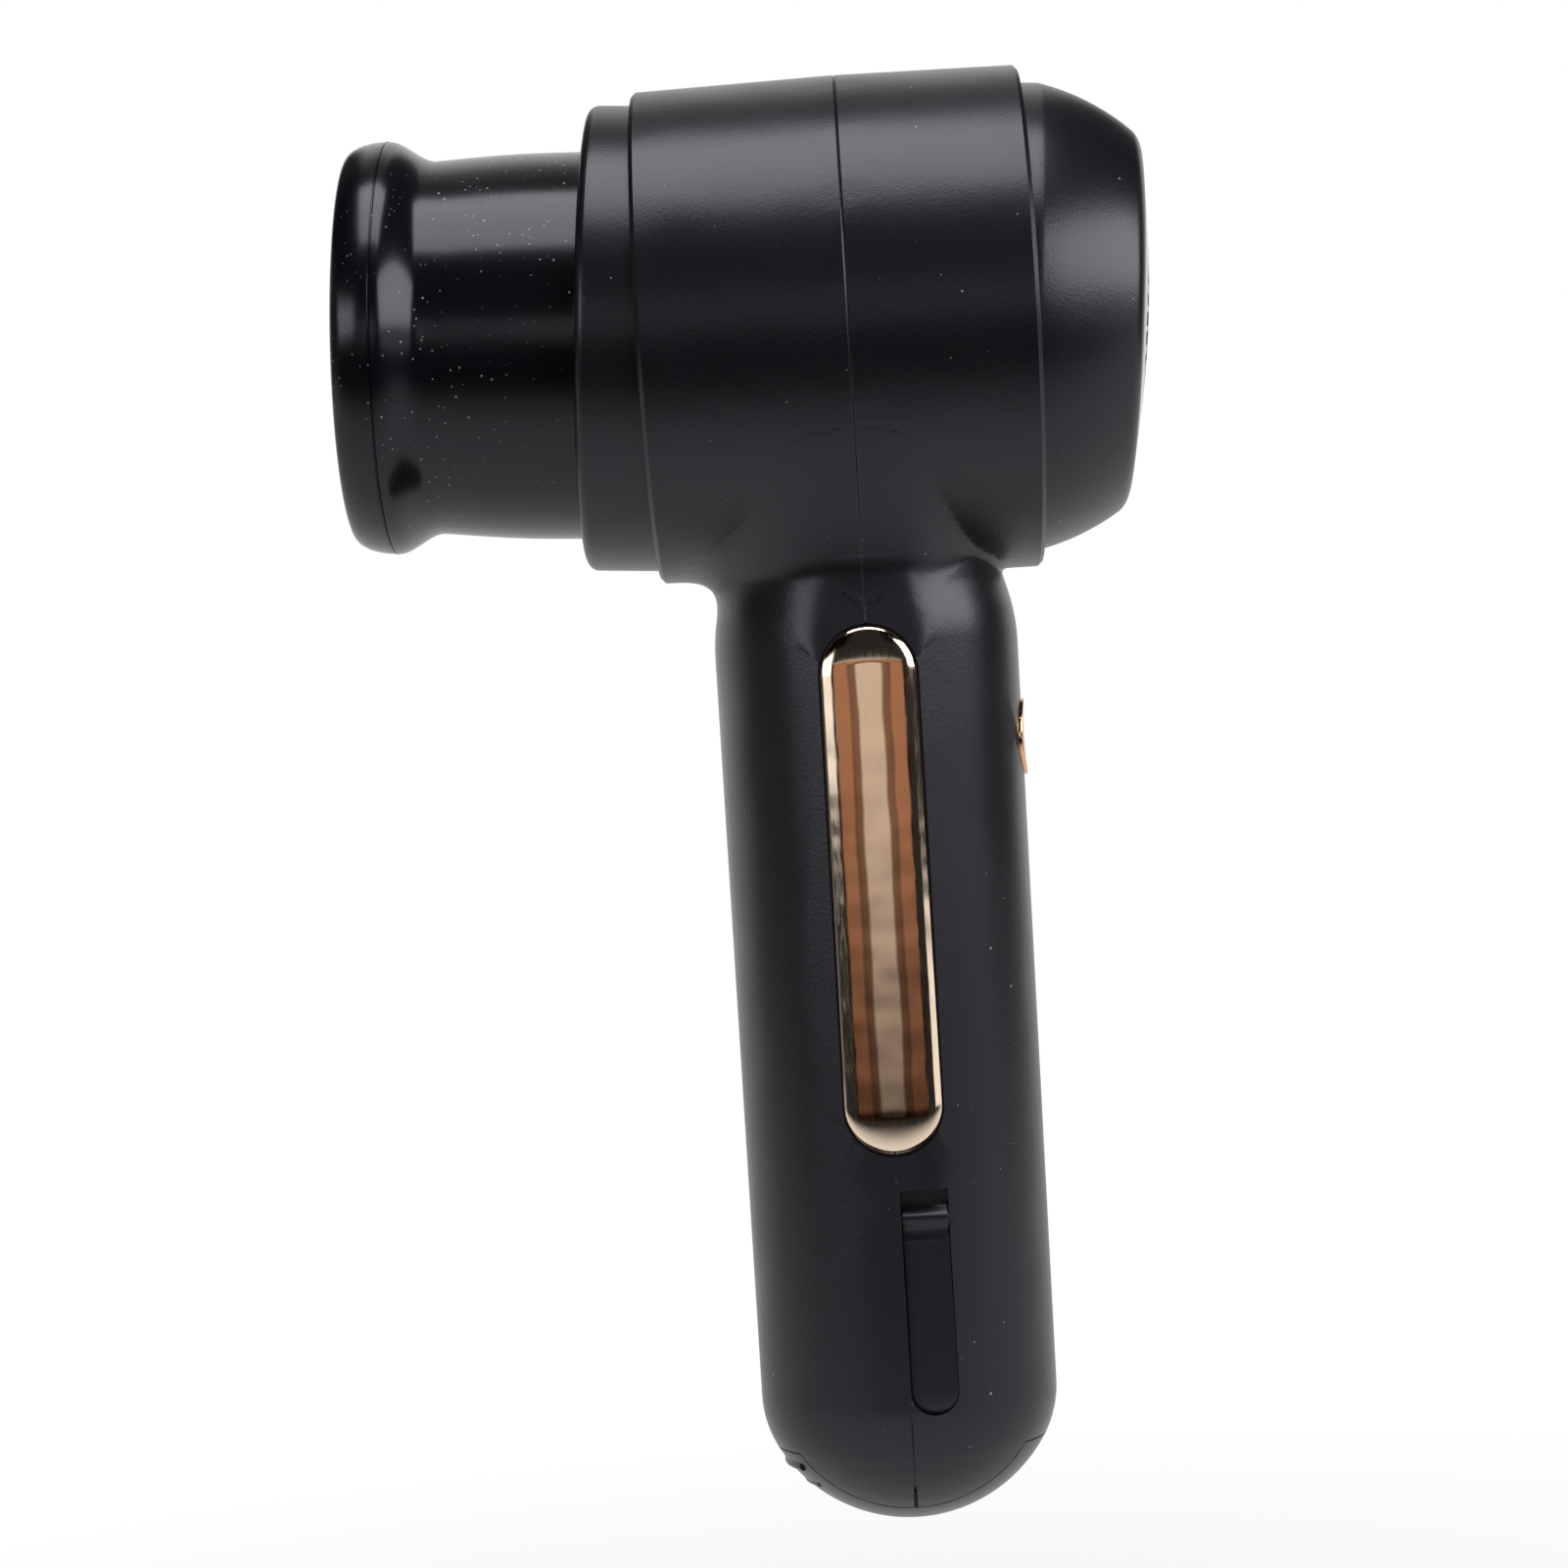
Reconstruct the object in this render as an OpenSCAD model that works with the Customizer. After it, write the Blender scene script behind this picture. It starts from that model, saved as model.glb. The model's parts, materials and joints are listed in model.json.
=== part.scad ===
// Cordless jet blower for drying cars: a ducted fan in a short barrel on an upright handle.
// Origin at the centre of the grip, on the handle's axis. The air leaves towards -X, the
// handle hangs along -Z, and the housing halves meet in the plane x = 0.

/* [Barrel] */
// Height of the barrel's axis above the centre of the grip
barrel_z = 95; // [88:1:110]
// Outer radius of the barrel where the halves meet
barrel_seam_r = 36.05; // [35.2:0.05:38]
// How much the barrel narrows towards its front edge, as a radius
front_taper = 0.75; // [0:0.05:1.2]
// How much the barrel narrows towards its rear edge, as a radius
rear_taper = 0.1; // [0:0.05:0.6]
// Length of the barrel in front of the seam
barrel_front_len = 29; // [28:0.5:34]
// Length of the barrel behind the seam
barrel_rear_len = 26.1; // [25:0.1:32]
// Wall of the barrel where the halves meet
barrel_wall = 2.75; // [2.6:0.05:3]
// Bevel on the barrel's two outer edges
barrel_bevel = 0.6; // [0.2:0.1:1]

/* [Handle] */
// Outer radius of the handle under the barrel
handle_top_r = 21.85; // [21.5:0.05:24]
// Outer radius of the handle where its round end begins
handle_bottom_r = 21.2; // [21:0.05:23.5]
// Distance from the barrel's axis to the bottom of the handle
handle_len = 171.4; // [169:0.2:190]
// Wall of the handle
handle_wall = 1.8; // [1.4:0.1:2]
// Width of the flat on each side of the handle
flat_w = 14; // [10:0.5:15]
// Height of the round end
end_rise = 18.5; // [16.5:0.5:20]
// Radius of the corner between the handle's wall and its bottom
end_corner_r = 15; // [12:0.5:16]
// Distance from the barrel's axis down to the start of the handle's shoulder
shoulder_drop = 46.5; // [45:0.5:50]
// Radius of the shoulder's rounding
shoulder_r = 28; // [22:1:30]
// Angle that the shoulder leans in before the neck sweeps out into the barrel
shoulder_turn = 18; // [10:1:18]
// Widest opening of the seam, at the very bottom of the handle
seam_gap = 0.7; // [0.1:0.1:1]

/* [Collar and outlet] */
// How much smaller the collar is than the barrel's front edge, as a radius
collar_step = 1.9; // [1.4:0.1:2.2]
// Length of the collar on its axis, in front of the barrel
collar_len = 8.4; // [6:0.2:12]
// Rounding of the collar's front corner
collar_corner_r = 1.6; // [1:0.2:3.4]
// Thickness of the collar's front wall
collar_wall = 2.2; // [1.4:0.2:3]
// Angle at which the collar's front face leans back
collar_tilt = 3.8; // [0:0.2:5]
// Angle at which the outlet rises from the barrel's axis
outlet_tilt = 2.6; // [0:0.2:4]
// How far the outlet lies below the barrel's axis at the collar
outlet_drop = 0.8; // [0:0.1:1.4]
// Width of the collar's face around the nozzle
collar_face = 5.55; // [5:0.05:5.8]
// Wall of the spigot
spigot_wall = 1.4; // [1:0.1:2]
// Length of the spigot in front of its shoulder
spigot_len = 25; // [18:1:27]

/* [Nozzle] */
// Wall of the nozzle's neck
neck_wall = 2.2; // [1.9:0.05:3]
// How much smaller the waist behind the lip is than the neck, as a radius
waist_step = 1.05; // [0.65:0.05:1.15]
// How much larger the lip is than the neck, as a radius
lip_step = 1.85; // [1.15:0.05:4]
// Distance from the nozzle's rear end to the parting line of the lip
neck_len = 34.8; // [31:0.1:44]
// Distance from the waist to the parting line
bead_depth = 5.9; // [4.5:0.1:7]
// Distance from the parting line to the front of the nozzle
lip_depth = 5.7; // [3.5:0.1:6]
// Wall of the waist around the mouth's bore
waist_wall = 0.8; // [0.7:0.05:1]
// Length of the straight bore in the mouth
mouth_len = 9; // [5:0.5:9.5]

/* [Rear dome and intake] */
// How much smaller the dome is than the barrel's rear edge, as a radius
dome_step = 2.25; // [1.6:0.05:2.3]
// Angle at which the dome leans down from the barrel's axis
dome_tilt = 4.8; // [0:0.2:6]
// How far the dome lies below the barrel's axis
dome_drop = 0.4; // [0:0.1:0.5]
// Radius of the dome's curve along its axis
dome_curve_r = 34; // [30:1:38]
// Rounding between the dome's side and its rear face
dome_corner_r = 3.7; // [2.5:0.1:3.7]
// Wall of the dome
dome_wall = 2.2; // [1.8:0.1:2.4]
// Width of the dome's flat rim around the grille
grille_rim = 0.1; // [0.1:0.05:1]
// How far the middle of the grille stands out of its rim
grille_rise = 1.9; // [1:0.1:3]
// Thickness of the grille
grille_t = 1.6; // [1.2:0.1:2]
// Number of slots in the outer row, twice that of the inner row
slot_count = 32; // [24:2:36]
// Depth of the seat that the grille lies in
grille_seat = 1.2; // [0.8:0.1:1.4]

/* [Trim plates] */
// Width of a trim plate
plate_w = 13.7; // [12:0.1:14.2]
// Length of a trim plate
plate_len = 73.9; // [70:0.1:76]
// Distance from the barrel's axis to the top of the plates
plate_top = 44.2; // [43.6:0.1:47]
// Thickness of a plate at its edge
plate_t = 1.2; // [0.8:0.1:1.3]
// How far a plate's middle stands above its edge
plate_crown = 0.9; // [0.4:0.1:1.4]

/* [Power button] */
// Radius of the button
button_r = 5.5; // [4.5:0.1:6]
// Distance from the barrel's axis to the button's centre
button_drop = 60.4; // [57.6:0.2:64]
// How far the button stands out of the handle
button_proud = 0.5; // [0.3:0.1:1.2]
// Travel of the button
button_travel = 0.8; // [0.4:0.1:1]

/* [Charging port] */
// Width of the rubber cover
cover_w = 6.3; // [6:0.1:7.2]
// Thickness of the rubber cover
cover_t = 1.6; // [1.2:0.1:1.8]
// Distance from the bottom of the trim plates down to the cover's recess
cover_gap = 4.9; // [3:0.1:6]
// Length of the cover, with its fixed root
cover_len = 29.2; // [27.6:0.1:30.4]
// Length of the straight root that stays fixed between the bend and the round end
cover_root = 0.6; // [0.4:0.1:3]
// Gap above the cover for a fingernail
nail_gap = 1.9; // [1:0.1:2.2]

/* [Bottom cap] */
// Width of the cap between the cheeks of the handle
cap_w = 22; // [20:0.5:24]
// Height of the cap's front and rear ends above the bottom
cap_rise = 11.4; // [9:0.2:12.4]
// Thickness of the cap
cap_t = 2; // [1.6:0.1:2.4]
// Spacing of the grip ribs in height
rib_pitch = 2.6; // [2:0.1:2.8]
// Radius of a grip rib
rib_r = 0.7; // [0.4:0.1:0.9]

/* [Battery] */
// Radius of a battery cell
cell_r = 9.175; // [8.8:0.025:9.2]
// Length of a battery cell
cell_len = 65; // [62:0.5:65.2]
// Wall of the sleeve around the cells
sleeve_wall = 0.8; // [0.6:0.1:1]

/* [Fan] */
// Space between the duct and the barrel's bore, which the rubber rings fill
duct_gap = 4.4; // [4.1:0.1:5]
// Wall of the fan duct
duct_wall = 2.2; // [1.6:0.1:2.3]
// Gap between the blade tips and the duct
tip_gap = 0.4; // [0.3:0.05:0.6]
// Number of impeller blades
blade_count = 11; // [7:2:13]
// Length of the blades along the axis
blade_len = 13; // [10:0.5:14]
// Angle that a blade turns through from end to end
blade_twist = 46; // [30:2:60]
// Number of fixed vanes behind the impeller
vane_count = 9; // [5:2:11]
// Angle that a vane turns through
vane_twist = 26; // [10:2:40]
// Thickness of the blades and vanes
blade_t = 1.1; // [0.8:0.1:1.4]
// Outer radius of the impeller's hub
hub_r = 14; // [13.8:0.1:15]

/* [Motor] */
// Outer radius of the motor's can
can_r = 13.3; // [12.8:0.1:13.4]
// Length of the motor's can
can_len = 18; // [17:0.5:18.5]
// Wall of the can
can_wall = 0.9; // [0.7:0.1:1]
// Thickness of the magnet ring
magnet_t = 1; // [0.8:0.1:1.2]
// Air gap between magnets and stator
air_gap = 0.4; // [0.3:0.05:0.6]
// Radius of the shaft
shaft_r = 1.5; // [1:0.1:1.6]
// Outer radius of a ball bearing
bearing_r = 4; // [3.5:0.1:4.2]
// Width of a ball bearing
bearing_w = 3; // [2.5:0.1:3.2]
// Number of stator teeth
tooth_count = 9; // [6:3:9]

/* [Fits] */
// Radial clearance of a shaft in a bearing
running_fit = 0.02; // [0.01:0.01:0.05]
// Gap between parts that push together
slip_fit = 0.15; // [0.05:0.01:0.2]
// Gap around trim and covers
trim_gap = 0.2; // [0.1:0.05:0.3]

/* [Hidden] */
$fn = 72;
e = 0.01;

soft_black = "#1b1b1d";
gloss_black = "#0c0c0e";
rose_gold = "#c98d63";
rubber_black = "#161618";
steel = "#b9bcc0";
copper = "#b5652f";
board_green = "#1d4a34";
cell_teal = "#2f7f86";
aluminium = "#c4c7cb";

// Handle
bottom_z = barrel_z - handle_len;
handle_top_z = barrel_z - 35;
end_z = bottom_z + end_rise;
end_bottom_r = ((handle_bottom_r - end_corner_r) ^ 2 + end_rise ^ 2 - end_corner_r ^ 2)
    / (2 * (end_rise - end_corner_r));
end_turn = atan2(end_rise - end_bottom_r, handle_bottom_r - end_corner_r);
tongue_t = 1;
tongue_top_z = end_z + 6;
flat_lean = atan((flat_y(handle_top_r) - flat_y(handle_bottom_r)) / (handle_top_z - end_z));
shoulder_end_r = handle_top_r - shoulder_r * (1 - cos(shoulder_turn));
shoulder_end_drop = shoulder_drop - shoulder_r * sin(shoulder_turn);
flare_meet_r = barrel_seam_r - 0.3;
flare_r = (shoulder_end_r ^ 2 + shoulder_end_drop ^ 2 - flare_meet_r ^ 2)
    / (2 * (flare_meet_r - shoulder_end_r * cos(shoulder_turn) + shoulder_end_drop * sin(shoulder_turn)));
flare_reach = shoulder_end_r + flare_r * cos(shoulder_turn);
flare_drop = shoulder_end_drop - flare_r * sin(shoulder_turn);
flare_turn = atan2(flare_drop, flare_reach);

// Barrel, collar and outlet
barrel_front_r = barrel_seam_r - front_taper;
barrel_rear_r = barrel_seam_r - rear_taper;
barrel_bore_r = barrel_seam_r - barrel_wall;
collar_r = barrel_front_r - collar_step;
plug_r = barrel_bore_r - slip_fit;
plug_wall = 1.5;
plug_len = 8.3;
flange_t = 2.4;
shoulder = 1.6;
nozzle_rear = shoulder + 0.4;
neck_r = collar_r - collar_face;
waist_r = neck_r - waist_step;
lip_r = neck_r + lip_step;
nozzle_bore_r = neck_r - neck_wall;
mouth_r = waist_r - waist_wall;
spigot_r = nozzle_bore_r - slip_fit;
mouth_bevel = 1.2;

// Dome and grille
dome_r = barrel_rear_r - dome_step;
dome_start = 12.5;
dome_end = 37.5;
dome_mid_s = -dome_curve_r * sin(dome_start);
dome_mid_r = dome_r - dome_curve_r * cos(dome_start);
dome_corner_s = dome_mid_s + (dome_curve_r - dome_corner_r) * sin(dome_end);
dome_face_r = dome_mid_r + (dome_curve_r - dome_corner_r) * cos(dome_end);
dome_len = dome_corner_s + dome_corner_r;
grille_r = dome_face_r - trim_gap - grille_rim;
grille_ledge = 1.7;
grille_ball = (grille_r ^ 2 + grille_rise ^ 2) / (2 * grille_rise);
grille_band = 5.2;
slot_gap = 1.3;
slot_inner_r = 6.5;

// Trim plates, with the pads behind them that take the screws
plate_mid_z = barrel_z - plate_top - plate_len / 2;
plate_lean_y = flat_at(plate_mid_z);
plate_seat = plate_t + 0.1;
pad_t = 3.1;
pad_y = plate_lean_y - pad_t;
pad_margin = 1.2;
screw_x = 4.3;
screw_drops = [plate_top + plate_len - 23, plate_top + plate_len - 5];
screw_head_r = 1.9;
screw_head_t = 1;
screw_shank_r = 1;
screw_len = 6.5;
boss_r = 2.8;

// Power button and its switch
button_z = barrel_z - button_drop;
button_face_x = handle_r_at(button_z) + button_proud;
button_bore_r = button_r + trim_gap;
guide_x = handle_r_at(button_z) - 5.6;
guide_wall = 1.3;
button_flange_r = button_bore_r + 0.9;
button_flange_t = 1;
stem_r = 1.2;
stem_len = 2.4;
plunger_r = 1.7;
plunger_len = 1.6;
plunger_x = guide_x - slip_fit - button_flange_t - stem_len;
switch_face_x = plunger_x - 0.9;
switch_size = 6.2;
switch_t = 3.4;
button_board_t = 1.6;
button_board_x = switch_face_x - switch_t - button_board_t;
button_board_size = [14, 17];

// Charging port
cover_x0 = 0.35;
cover_recess_w = cover_w + 2 * trim_gap;
cover_z = barrel_z - plate_top - plate_len - cover_gap - nail_gap;
cover_end_z = cover_z - cover_len;
bend_z = cover_end_z + cover_w + cover_root;
cover_y = -flat_at((cover_z + cover_end_z) / 2);
cover_seat = cover_t + trim_gap;
cover_pad_y = cover_y + cover_seat + 1.4;
cover_mid_x = cover_x0 + cover_w / 2;
port_z = cover_z - 8;
port_size = [3.26, 8.94];
port_len = 6.2;
port_wall = 0.3;
port_y = cover_pad_y + 0.1;
port_board_t = 1.2;

// Battery
cell_x = cell_r + 0.125;
cell_bore_r = cell_r + slip_fit;
cell_bottom_z = bottom_z + cap_rise + 5.9;
cell_top_z = cell_bottom_z + cell_len;
contact_t = 0.5;
sleeve_bottom_z = cell_bottom_z + 2.4;
sleeve_top_z = cell_top_z + contact_t + 2.2;
sleeve_y = cell_bore_r + sleeve_wall;
sleeve_end_r = min(cell_bore_r + sleeve_wall, handle_bottom_r - handle_wall - 0.25 - cell_x);

// Control board
board_x = -6.6;
board_t = 1.6;
board_top_z = barrel_z - 46;
board_bottom_z = sleeve_top_z + 2.4;
board_half_w = pad_y - 0.8;

// Fan and motor, placed along the barrel's axis from the seam
duct_front_x = 4.1 - barrel_front_len;
duct_out_r = barrel_bore_r - duct_gap;
duct_r = duct_out_r - duct_wall;
bell_r = duct_gap - 0.4;
duct_rear_x = barrel_rear_len - 3.2;
duct_flange_r = (barrel_bore_r + duct_out_r) / 2;
duct_flange_t = 1.5;
isolator_len = 5.2;
isolator_front_x = plug_len + slip_fit * 2 - barrel_front_len;
isolator_rear_x = barrel_rear_len - plug_len - slip_fit * 2 - isolator_len;
lead_notch = [8, 2.6];
cup_r = can_r + 0.8;
cup_wall = 1.6;
cup_base_x = duct_front_x + 3.9;
cup_base_t = 2.4;
cup_rear_x = cup_base_x + cup_base_t + can_len - 1;
vane_rear_x = cup_rear_x - 1;
motor_x = cup_base_x + cup_base_t;
mount_t = 2;
mount_r = can_r - 1.6;
bearing_seat_wall = 1;
bearing_front_x = motor_x - 1.8;
bearing_rear_x = motor_x + can_len - 4.6;
mount_screw_r = 7.6;
stator_x = motor_x + 4;
stator_len = can_len - 8;
magnet_r = can_r - can_wall;
stator_r = magnet_r - magnet_t - air_gap;
tooth_root_r = bearing_r + bearing_seat_wall + 1.6;
can_x = motor_x + mount_t + 0.5;
can_rear_x = can_x + can_len - 1.6;
impeller_x = can_rear_x + 0.05;
hub_len = blade_len + 2;
hub_wall = 1.6;
nut_x = impeller_x + hub_len - 4;
nut_t = 2.4;
nut_r = 3.2;
spinner_x = impeller_x + hub_len;
spinner_len = 8;
shaft_front_x = bearing_front_x - 1.4;
shaft_rear_x = nut_x + nut_t + 1;
clip_t = 0.5;
tail_len = 18;
wire_r = 0.7;

// Half width of the handle's flat at a given radius of the handle.
function flat_y(r) = sqrt(r ^ 2 - (flat_w / 2) ^ 2);

// Radius of the handle at height z, between its top and its round end.
function handle_r_at(z) = handle_bottom_r
    + (handle_top_r - handle_bottom_r) * (z - end_z) / (handle_top_z - end_z);

// Distance of the side flat from the handle's axis at height z.
function flat_at(z) = flat_y(handle_bottom_r) + (z - end_z) * tan(flat_lean);

// Points of an arc about [cx, cy], from angle a0 to angle a1.
function arc(cx, cy, r, a0, a1, steps = 8) =
    [for (i = [0:steps]) let (a = a0 + (a1 - a0) * i / steps) [cx + r * cos(a), cy + r * sin(a)]];

// Half outline of the handle in radius and height, moved inwards by inset.
function handle_outline(inset) = concat(
    [[0, bottom_z + inset]],
    arc(0, bottom_z + end_bottom_r, end_bottom_r - inset, -90, end_turn),
    arc(handle_bottom_r - end_corner_r, end_z, end_corner_r - inset, end_turn, 0),
    arc(handle_top_r - shoulder_r, barrel_z - shoulder_drop, shoulder_r - inset, 0, shoulder_turn, 6),
    arc(flare_reach, barrel_z - flare_drop, flare_r + inset, 180 + shoulder_turn, 180 - flare_turn, 12),
    [[0, barrel_z - flare_drop + flare_r * sin(flare_turn)]]
);

// Distance from the handle's axis to its round end at a height above the bottom.
function end_r_at(rise) =
    handle_bottom_r - end_corner_r + sqrt(end_corner_r ^ 2 - (end_rise - rise) ^ 2);

// Half outline of the dome in radius and distance along its axis, moved inwards by inset.
function dome_curve(inset) = [
    for (i = [0:8]) let (a = dome_start + (dome_end - dome_start) * i / 8)
        [dome_mid_r + (dome_curve_r - inset) * cos(a), dome_mid_s + (dome_curve_r - inset) * sin(a)]
];

// Smooth curve through a list of points, with the given steps between each two.
function spline(p, steps = 5) = [
    for (i = [0:len(p) - 2], k = [0:steps - (i == len(p) - 2 ? 0 : 1)])
        let (t = k / steps, a = p[max(i - 1, 0)], b = p[i], c = p[i + 1],
            d = p[min(i + 2, len(p) - 1)])
            0.5 * (2 * b + (c - a) * t + (2 * a - 5 * b + 4 * c - d) * t ^ 2
                + (3 * b - a - 3 * c + d) * t ^ 3)
];

// Places children drawn along +Z so that they run along +X on the barrel's axis.
module on_barrel(x = 0) {
    translate([x, 0, barrel_z]) rotate([0, 90, 0]) children();
}

// Places children drawn along +Z so that they run forwards on the collar's axis.
module on_collar() {
    translate([-barrel_front_len, 0, barrel_z]) rotate([0, collar_tilt - 90, 0]) children();
}

// Places children drawn along +Z so that they run forwards on the outlet's axis.
module on_outlet() {
    translate([-barrel_front_len, 0, barrel_z - outlet_drop]) rotate([0, outlet_tilt - 90, 0])
        children();
}

// Places children drawn along +Z so that they run backwards on the dome's axis.
module on_dome() {
    translate([barrel_rear_len + 0.3, 0, barrel_z - dome_drop]) rotate([0, 90 + dome_tilt, 0])
        children();
}

// Repeats children on both sides of the handle.
module both_sides() {
    for (side = [0, 1]) mirror([0, side, 0]) children();
}

// A tube along +Z.
module tube(outer, inner, len) {
    difference() {
        cylinder(r = outer, h = len);
        translate([0, 0, -1]) cylinder(r = inner, h = len + 2);
    }
}

// A bar with round ends along Z, drawn in the plane XY and thick along Z.
module stadium(w, len, t) {
    linear_extrude(t) {
        square([w, len - w], center = true);
        for (end = [-1, 1]) translate([0, end * (len - w) / 2]) circle(r = w / 2);
    }
}

// The stadium turned to lie on the +Y side, with its back at distance y.
module side_stadium(w, len, y, t) {
    translate([0, y, plate_mid_z]) rotate([-90, 0, 0]) stadium(w, len, t);
}

// Solid of the handle, moved inwards by inset.
module handle_solid(inset = 0) {
    difference() {
        rotate_extrude() polygon(handle_outline(inset));
        both_sides() flat_cut(inset);
    }
}

// What the side flat takes off, up to the narrowest part of the neck.
module flat_cut(inset) {
    neck_z = barrel_z - flare_drop;
    translate([0, flat_at(neck_z) - inset, neck_z]) rotate([flat_lean, 0, 0])
        translate([-50, 0, -200]) cube([100, 50, 200]);
}

// The barrel's outer form, with bevelled edges.
module barrel_solid() {
    on_barrel() rotate_extrude() polygon([
        [0, -barrel_front_len],
        [barrel_front_r - barrel_bevel, -barrel_front_len],
        [barrel_front_r, barrel_bevel - barrel_front_len],
        [barrel_seam_r, 0],
        [barrel_rear_r, barrel_rear_len - barrel_bevel],
        [barrel_rear_r - barrel_bevel, barrel_rear_len],
        [0, barrel_rear_len]
    ]);
}

// Both housing halves in one: the barrel and handle, hollow, with all openings.
module housing() {
    difference() {
        union() {
            barrel_solid();
            handle_solid();
        }
        on_barrel(-barrel_front_len - 1)
            cylinder(r = barrel_bore_r, h = barrel_front_len + barrel_rear_len + 2);
        difference() {
            handle_solid(handle_wall);
            side_pads();
            cover_pad();
        }
        plate_recesses();
        cover_recess();
        cap_slot();
        seam_wedge();
        on_button() cylinder(r = button_bore_r, h = 40);
    }
}

// Pads inside the walls, behind the trim plates, that the screws hold.
module side_pads() {
    both_sides() side_stadium(plate_w + 2 * pad_margin, plate_len + 2 * pad_margin, pad_y, 10);
}

// Pad inside the wall behind the charging port's cover.
module cover_pad() {
    translate([-1, -30, cover_end_z - 1])
        cube([cover_recess_w + 3, 30 + cover_pad_y, cover_len + nail_gap + 2]);
}

// Recesses for the trim plates, with the screw holes in their floors.
module plate_recesses() {
    both_sides() {
        side_stadium(plate_w + 2 * trim_gap, plate_len + 2 * trim_gap, plate_lean_y - plate_seat, 10);
        at_screws() {
            translate([0, 0, -10]) cylinder(r = screw_shank_r + 0.1, h = 20);
            translate([0, 0, -screw_head_t - 0.1]) cylinder(r = screw_head_r + 0.1, h = 10);
        }
    }
}

// Places children at the four screws of one side, with +Z pointing out of the recess floor.
module at_screws() {
    for (x = [-screw_x, screw_x], drop = screw_drops)
        translate([x, plate_lean_y - plate_seat, barrel_z - drop]) rotate([-90, 0, 0]) children();
}

// Outline of the charging cover in X and Z, from one height to another, with a round lower end.
module cover_outline(x0, w, top_z, low_z) {
    translate([x0, low_z + w / 2]) square([w, top_z - low_z - w / 2]);
    translate([x0 + w / 2, low_z + w / 2]) circle(r = w / 2);
}

// Recess for the charging cover, with the opening for the plug.
module cover_recess() {
    low = cover_end_z - trim_gap;
    translate([0, cover_y + cover_seat, 0]) rotate([90, 0, 0]) linear_extrude(10)
        cover_outline(cover_x0 - trim_gap, cover_recess_w, cover_z + nail_gap, low);
    translate([cover_mid_x, cover_pad_y + 1, port_z]) rotate([90, 0, 0])
        stadium(port_size[0] + 0.8, port_size[1] + 0.8, 10);
}

// The slot in the handle's round end that the bottom cap fills.
module cap_slot() {
    translate([-50, -cap_w / 2, bottom_z - 1]) cube([100, cap_w, cap_rise + 1]);
}

// The seam opens slightly towards the bottom of the handle.
module seam_wedge() {
    rotate([90, 0, 0]) linear_extrude(100, center = true)
        polygon([[-seam_gap / 2, bottom_z - e], [seam_gap / 2, bottom_z - e], [0, end_z]]);
}

// Places children at the button, drawn along +Z pointing out of the handle.
module on_button(x = 0) {
    translate([x, 0, button_z]) rotate([0, 90, 0]) children();
}

// Channel that holds one long edge of a board: two lips with the board's gap between them.
module board_rail(x, t, y, len, z, depth) {
    lip = 1.4;
    translate([x - slip_fit - lip, y - depth, z]) difference() {
        cube([t + 2 * (slip_fit + lip), depth, len]);
        translate([lip, -1, -1]) cube([t + 2 * slip_fit, depth + 0.2, len + 2]);
    }
}

module front_shell() color(soft_black) {
    difference() {
        housing();
        translate([0, -100, -150]) cube([100, 200, 300]);
    }
    both_sides()
        board_rail(board_x, board_t, pad_y + 0.2, board_top_z - board_bottom_z, board_bottom_z, 2);
    seam_tongue(tongue_top_z);
    mirror([0, 1, 0]) seam_tongue(cover_end_z - 1.3);
}

// Lip of the front half that laps behind the rear half, up to a height, and closes the seam.
module seam_tongue(top_z) {
    tongue_strip(-1.8, 1.4, handle_wall - 0.3, top_z);
    tongue_strip(-0.5, 1.7, handle_wall + slip_fit, top_z);
}

// A strip of the lip along X, from the given inset of the handle's wall to the lip's inner face.
module tongue_strip(x, len, inset, top_z) {
    translate([x, 0, 0]) rotate([90, 0, 90]) linear_extrude(len) difference() {
        seam_section(inset, top_z);
        seam_section(handle_wall + tongue_t, top_z + 1);
        translate([-50, bottom_z - 1]) square([50 + cap_w / 2 + trim_gap, 100]);
    }
}

// Half section of the handle in the seam plane, below a height, moved inwards by inset.
module seam_section(inset, top_z) {
    intersection() {
        polygon(handle_outline(inset));
        polygon([
            [-1, bottom_z - 1], [flat_at(bottom_z - 1) - inset, bottom_z - 1],
            [flat_at(top_z) - inset, top_z], [-1, top_z]
        ]);
    }
}

module rear_shell() color(soft_black) {
    rail_len = 8;
    rail_y = button_board_size[0] / 2 + 0.95;
    difference() {
        union() {
            difference() {
                housing();
                translate([-100, -100, -150]) cube([100, 200, 300]);
            }
            on_button(guide_x) cylinder(r = button_bore_r + guide_wall, h = 4.6);
        }
        on_button() cylinder(r = button_bore_r, h = 40);
    }
    both_sides() {
        board_rail(button_board_x, button_board_t, rail_y, rail_len, button_z - rail_len / 2, 2);
        translate([button_board_x - 1.4, rail_y - e, button_z - rail_len / 2])
            cube([sqrt(handle_bottom_r ^ 2 - rail_y ^ 2) - button_board_x, 1.2, rail_len]);
    }
}

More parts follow.
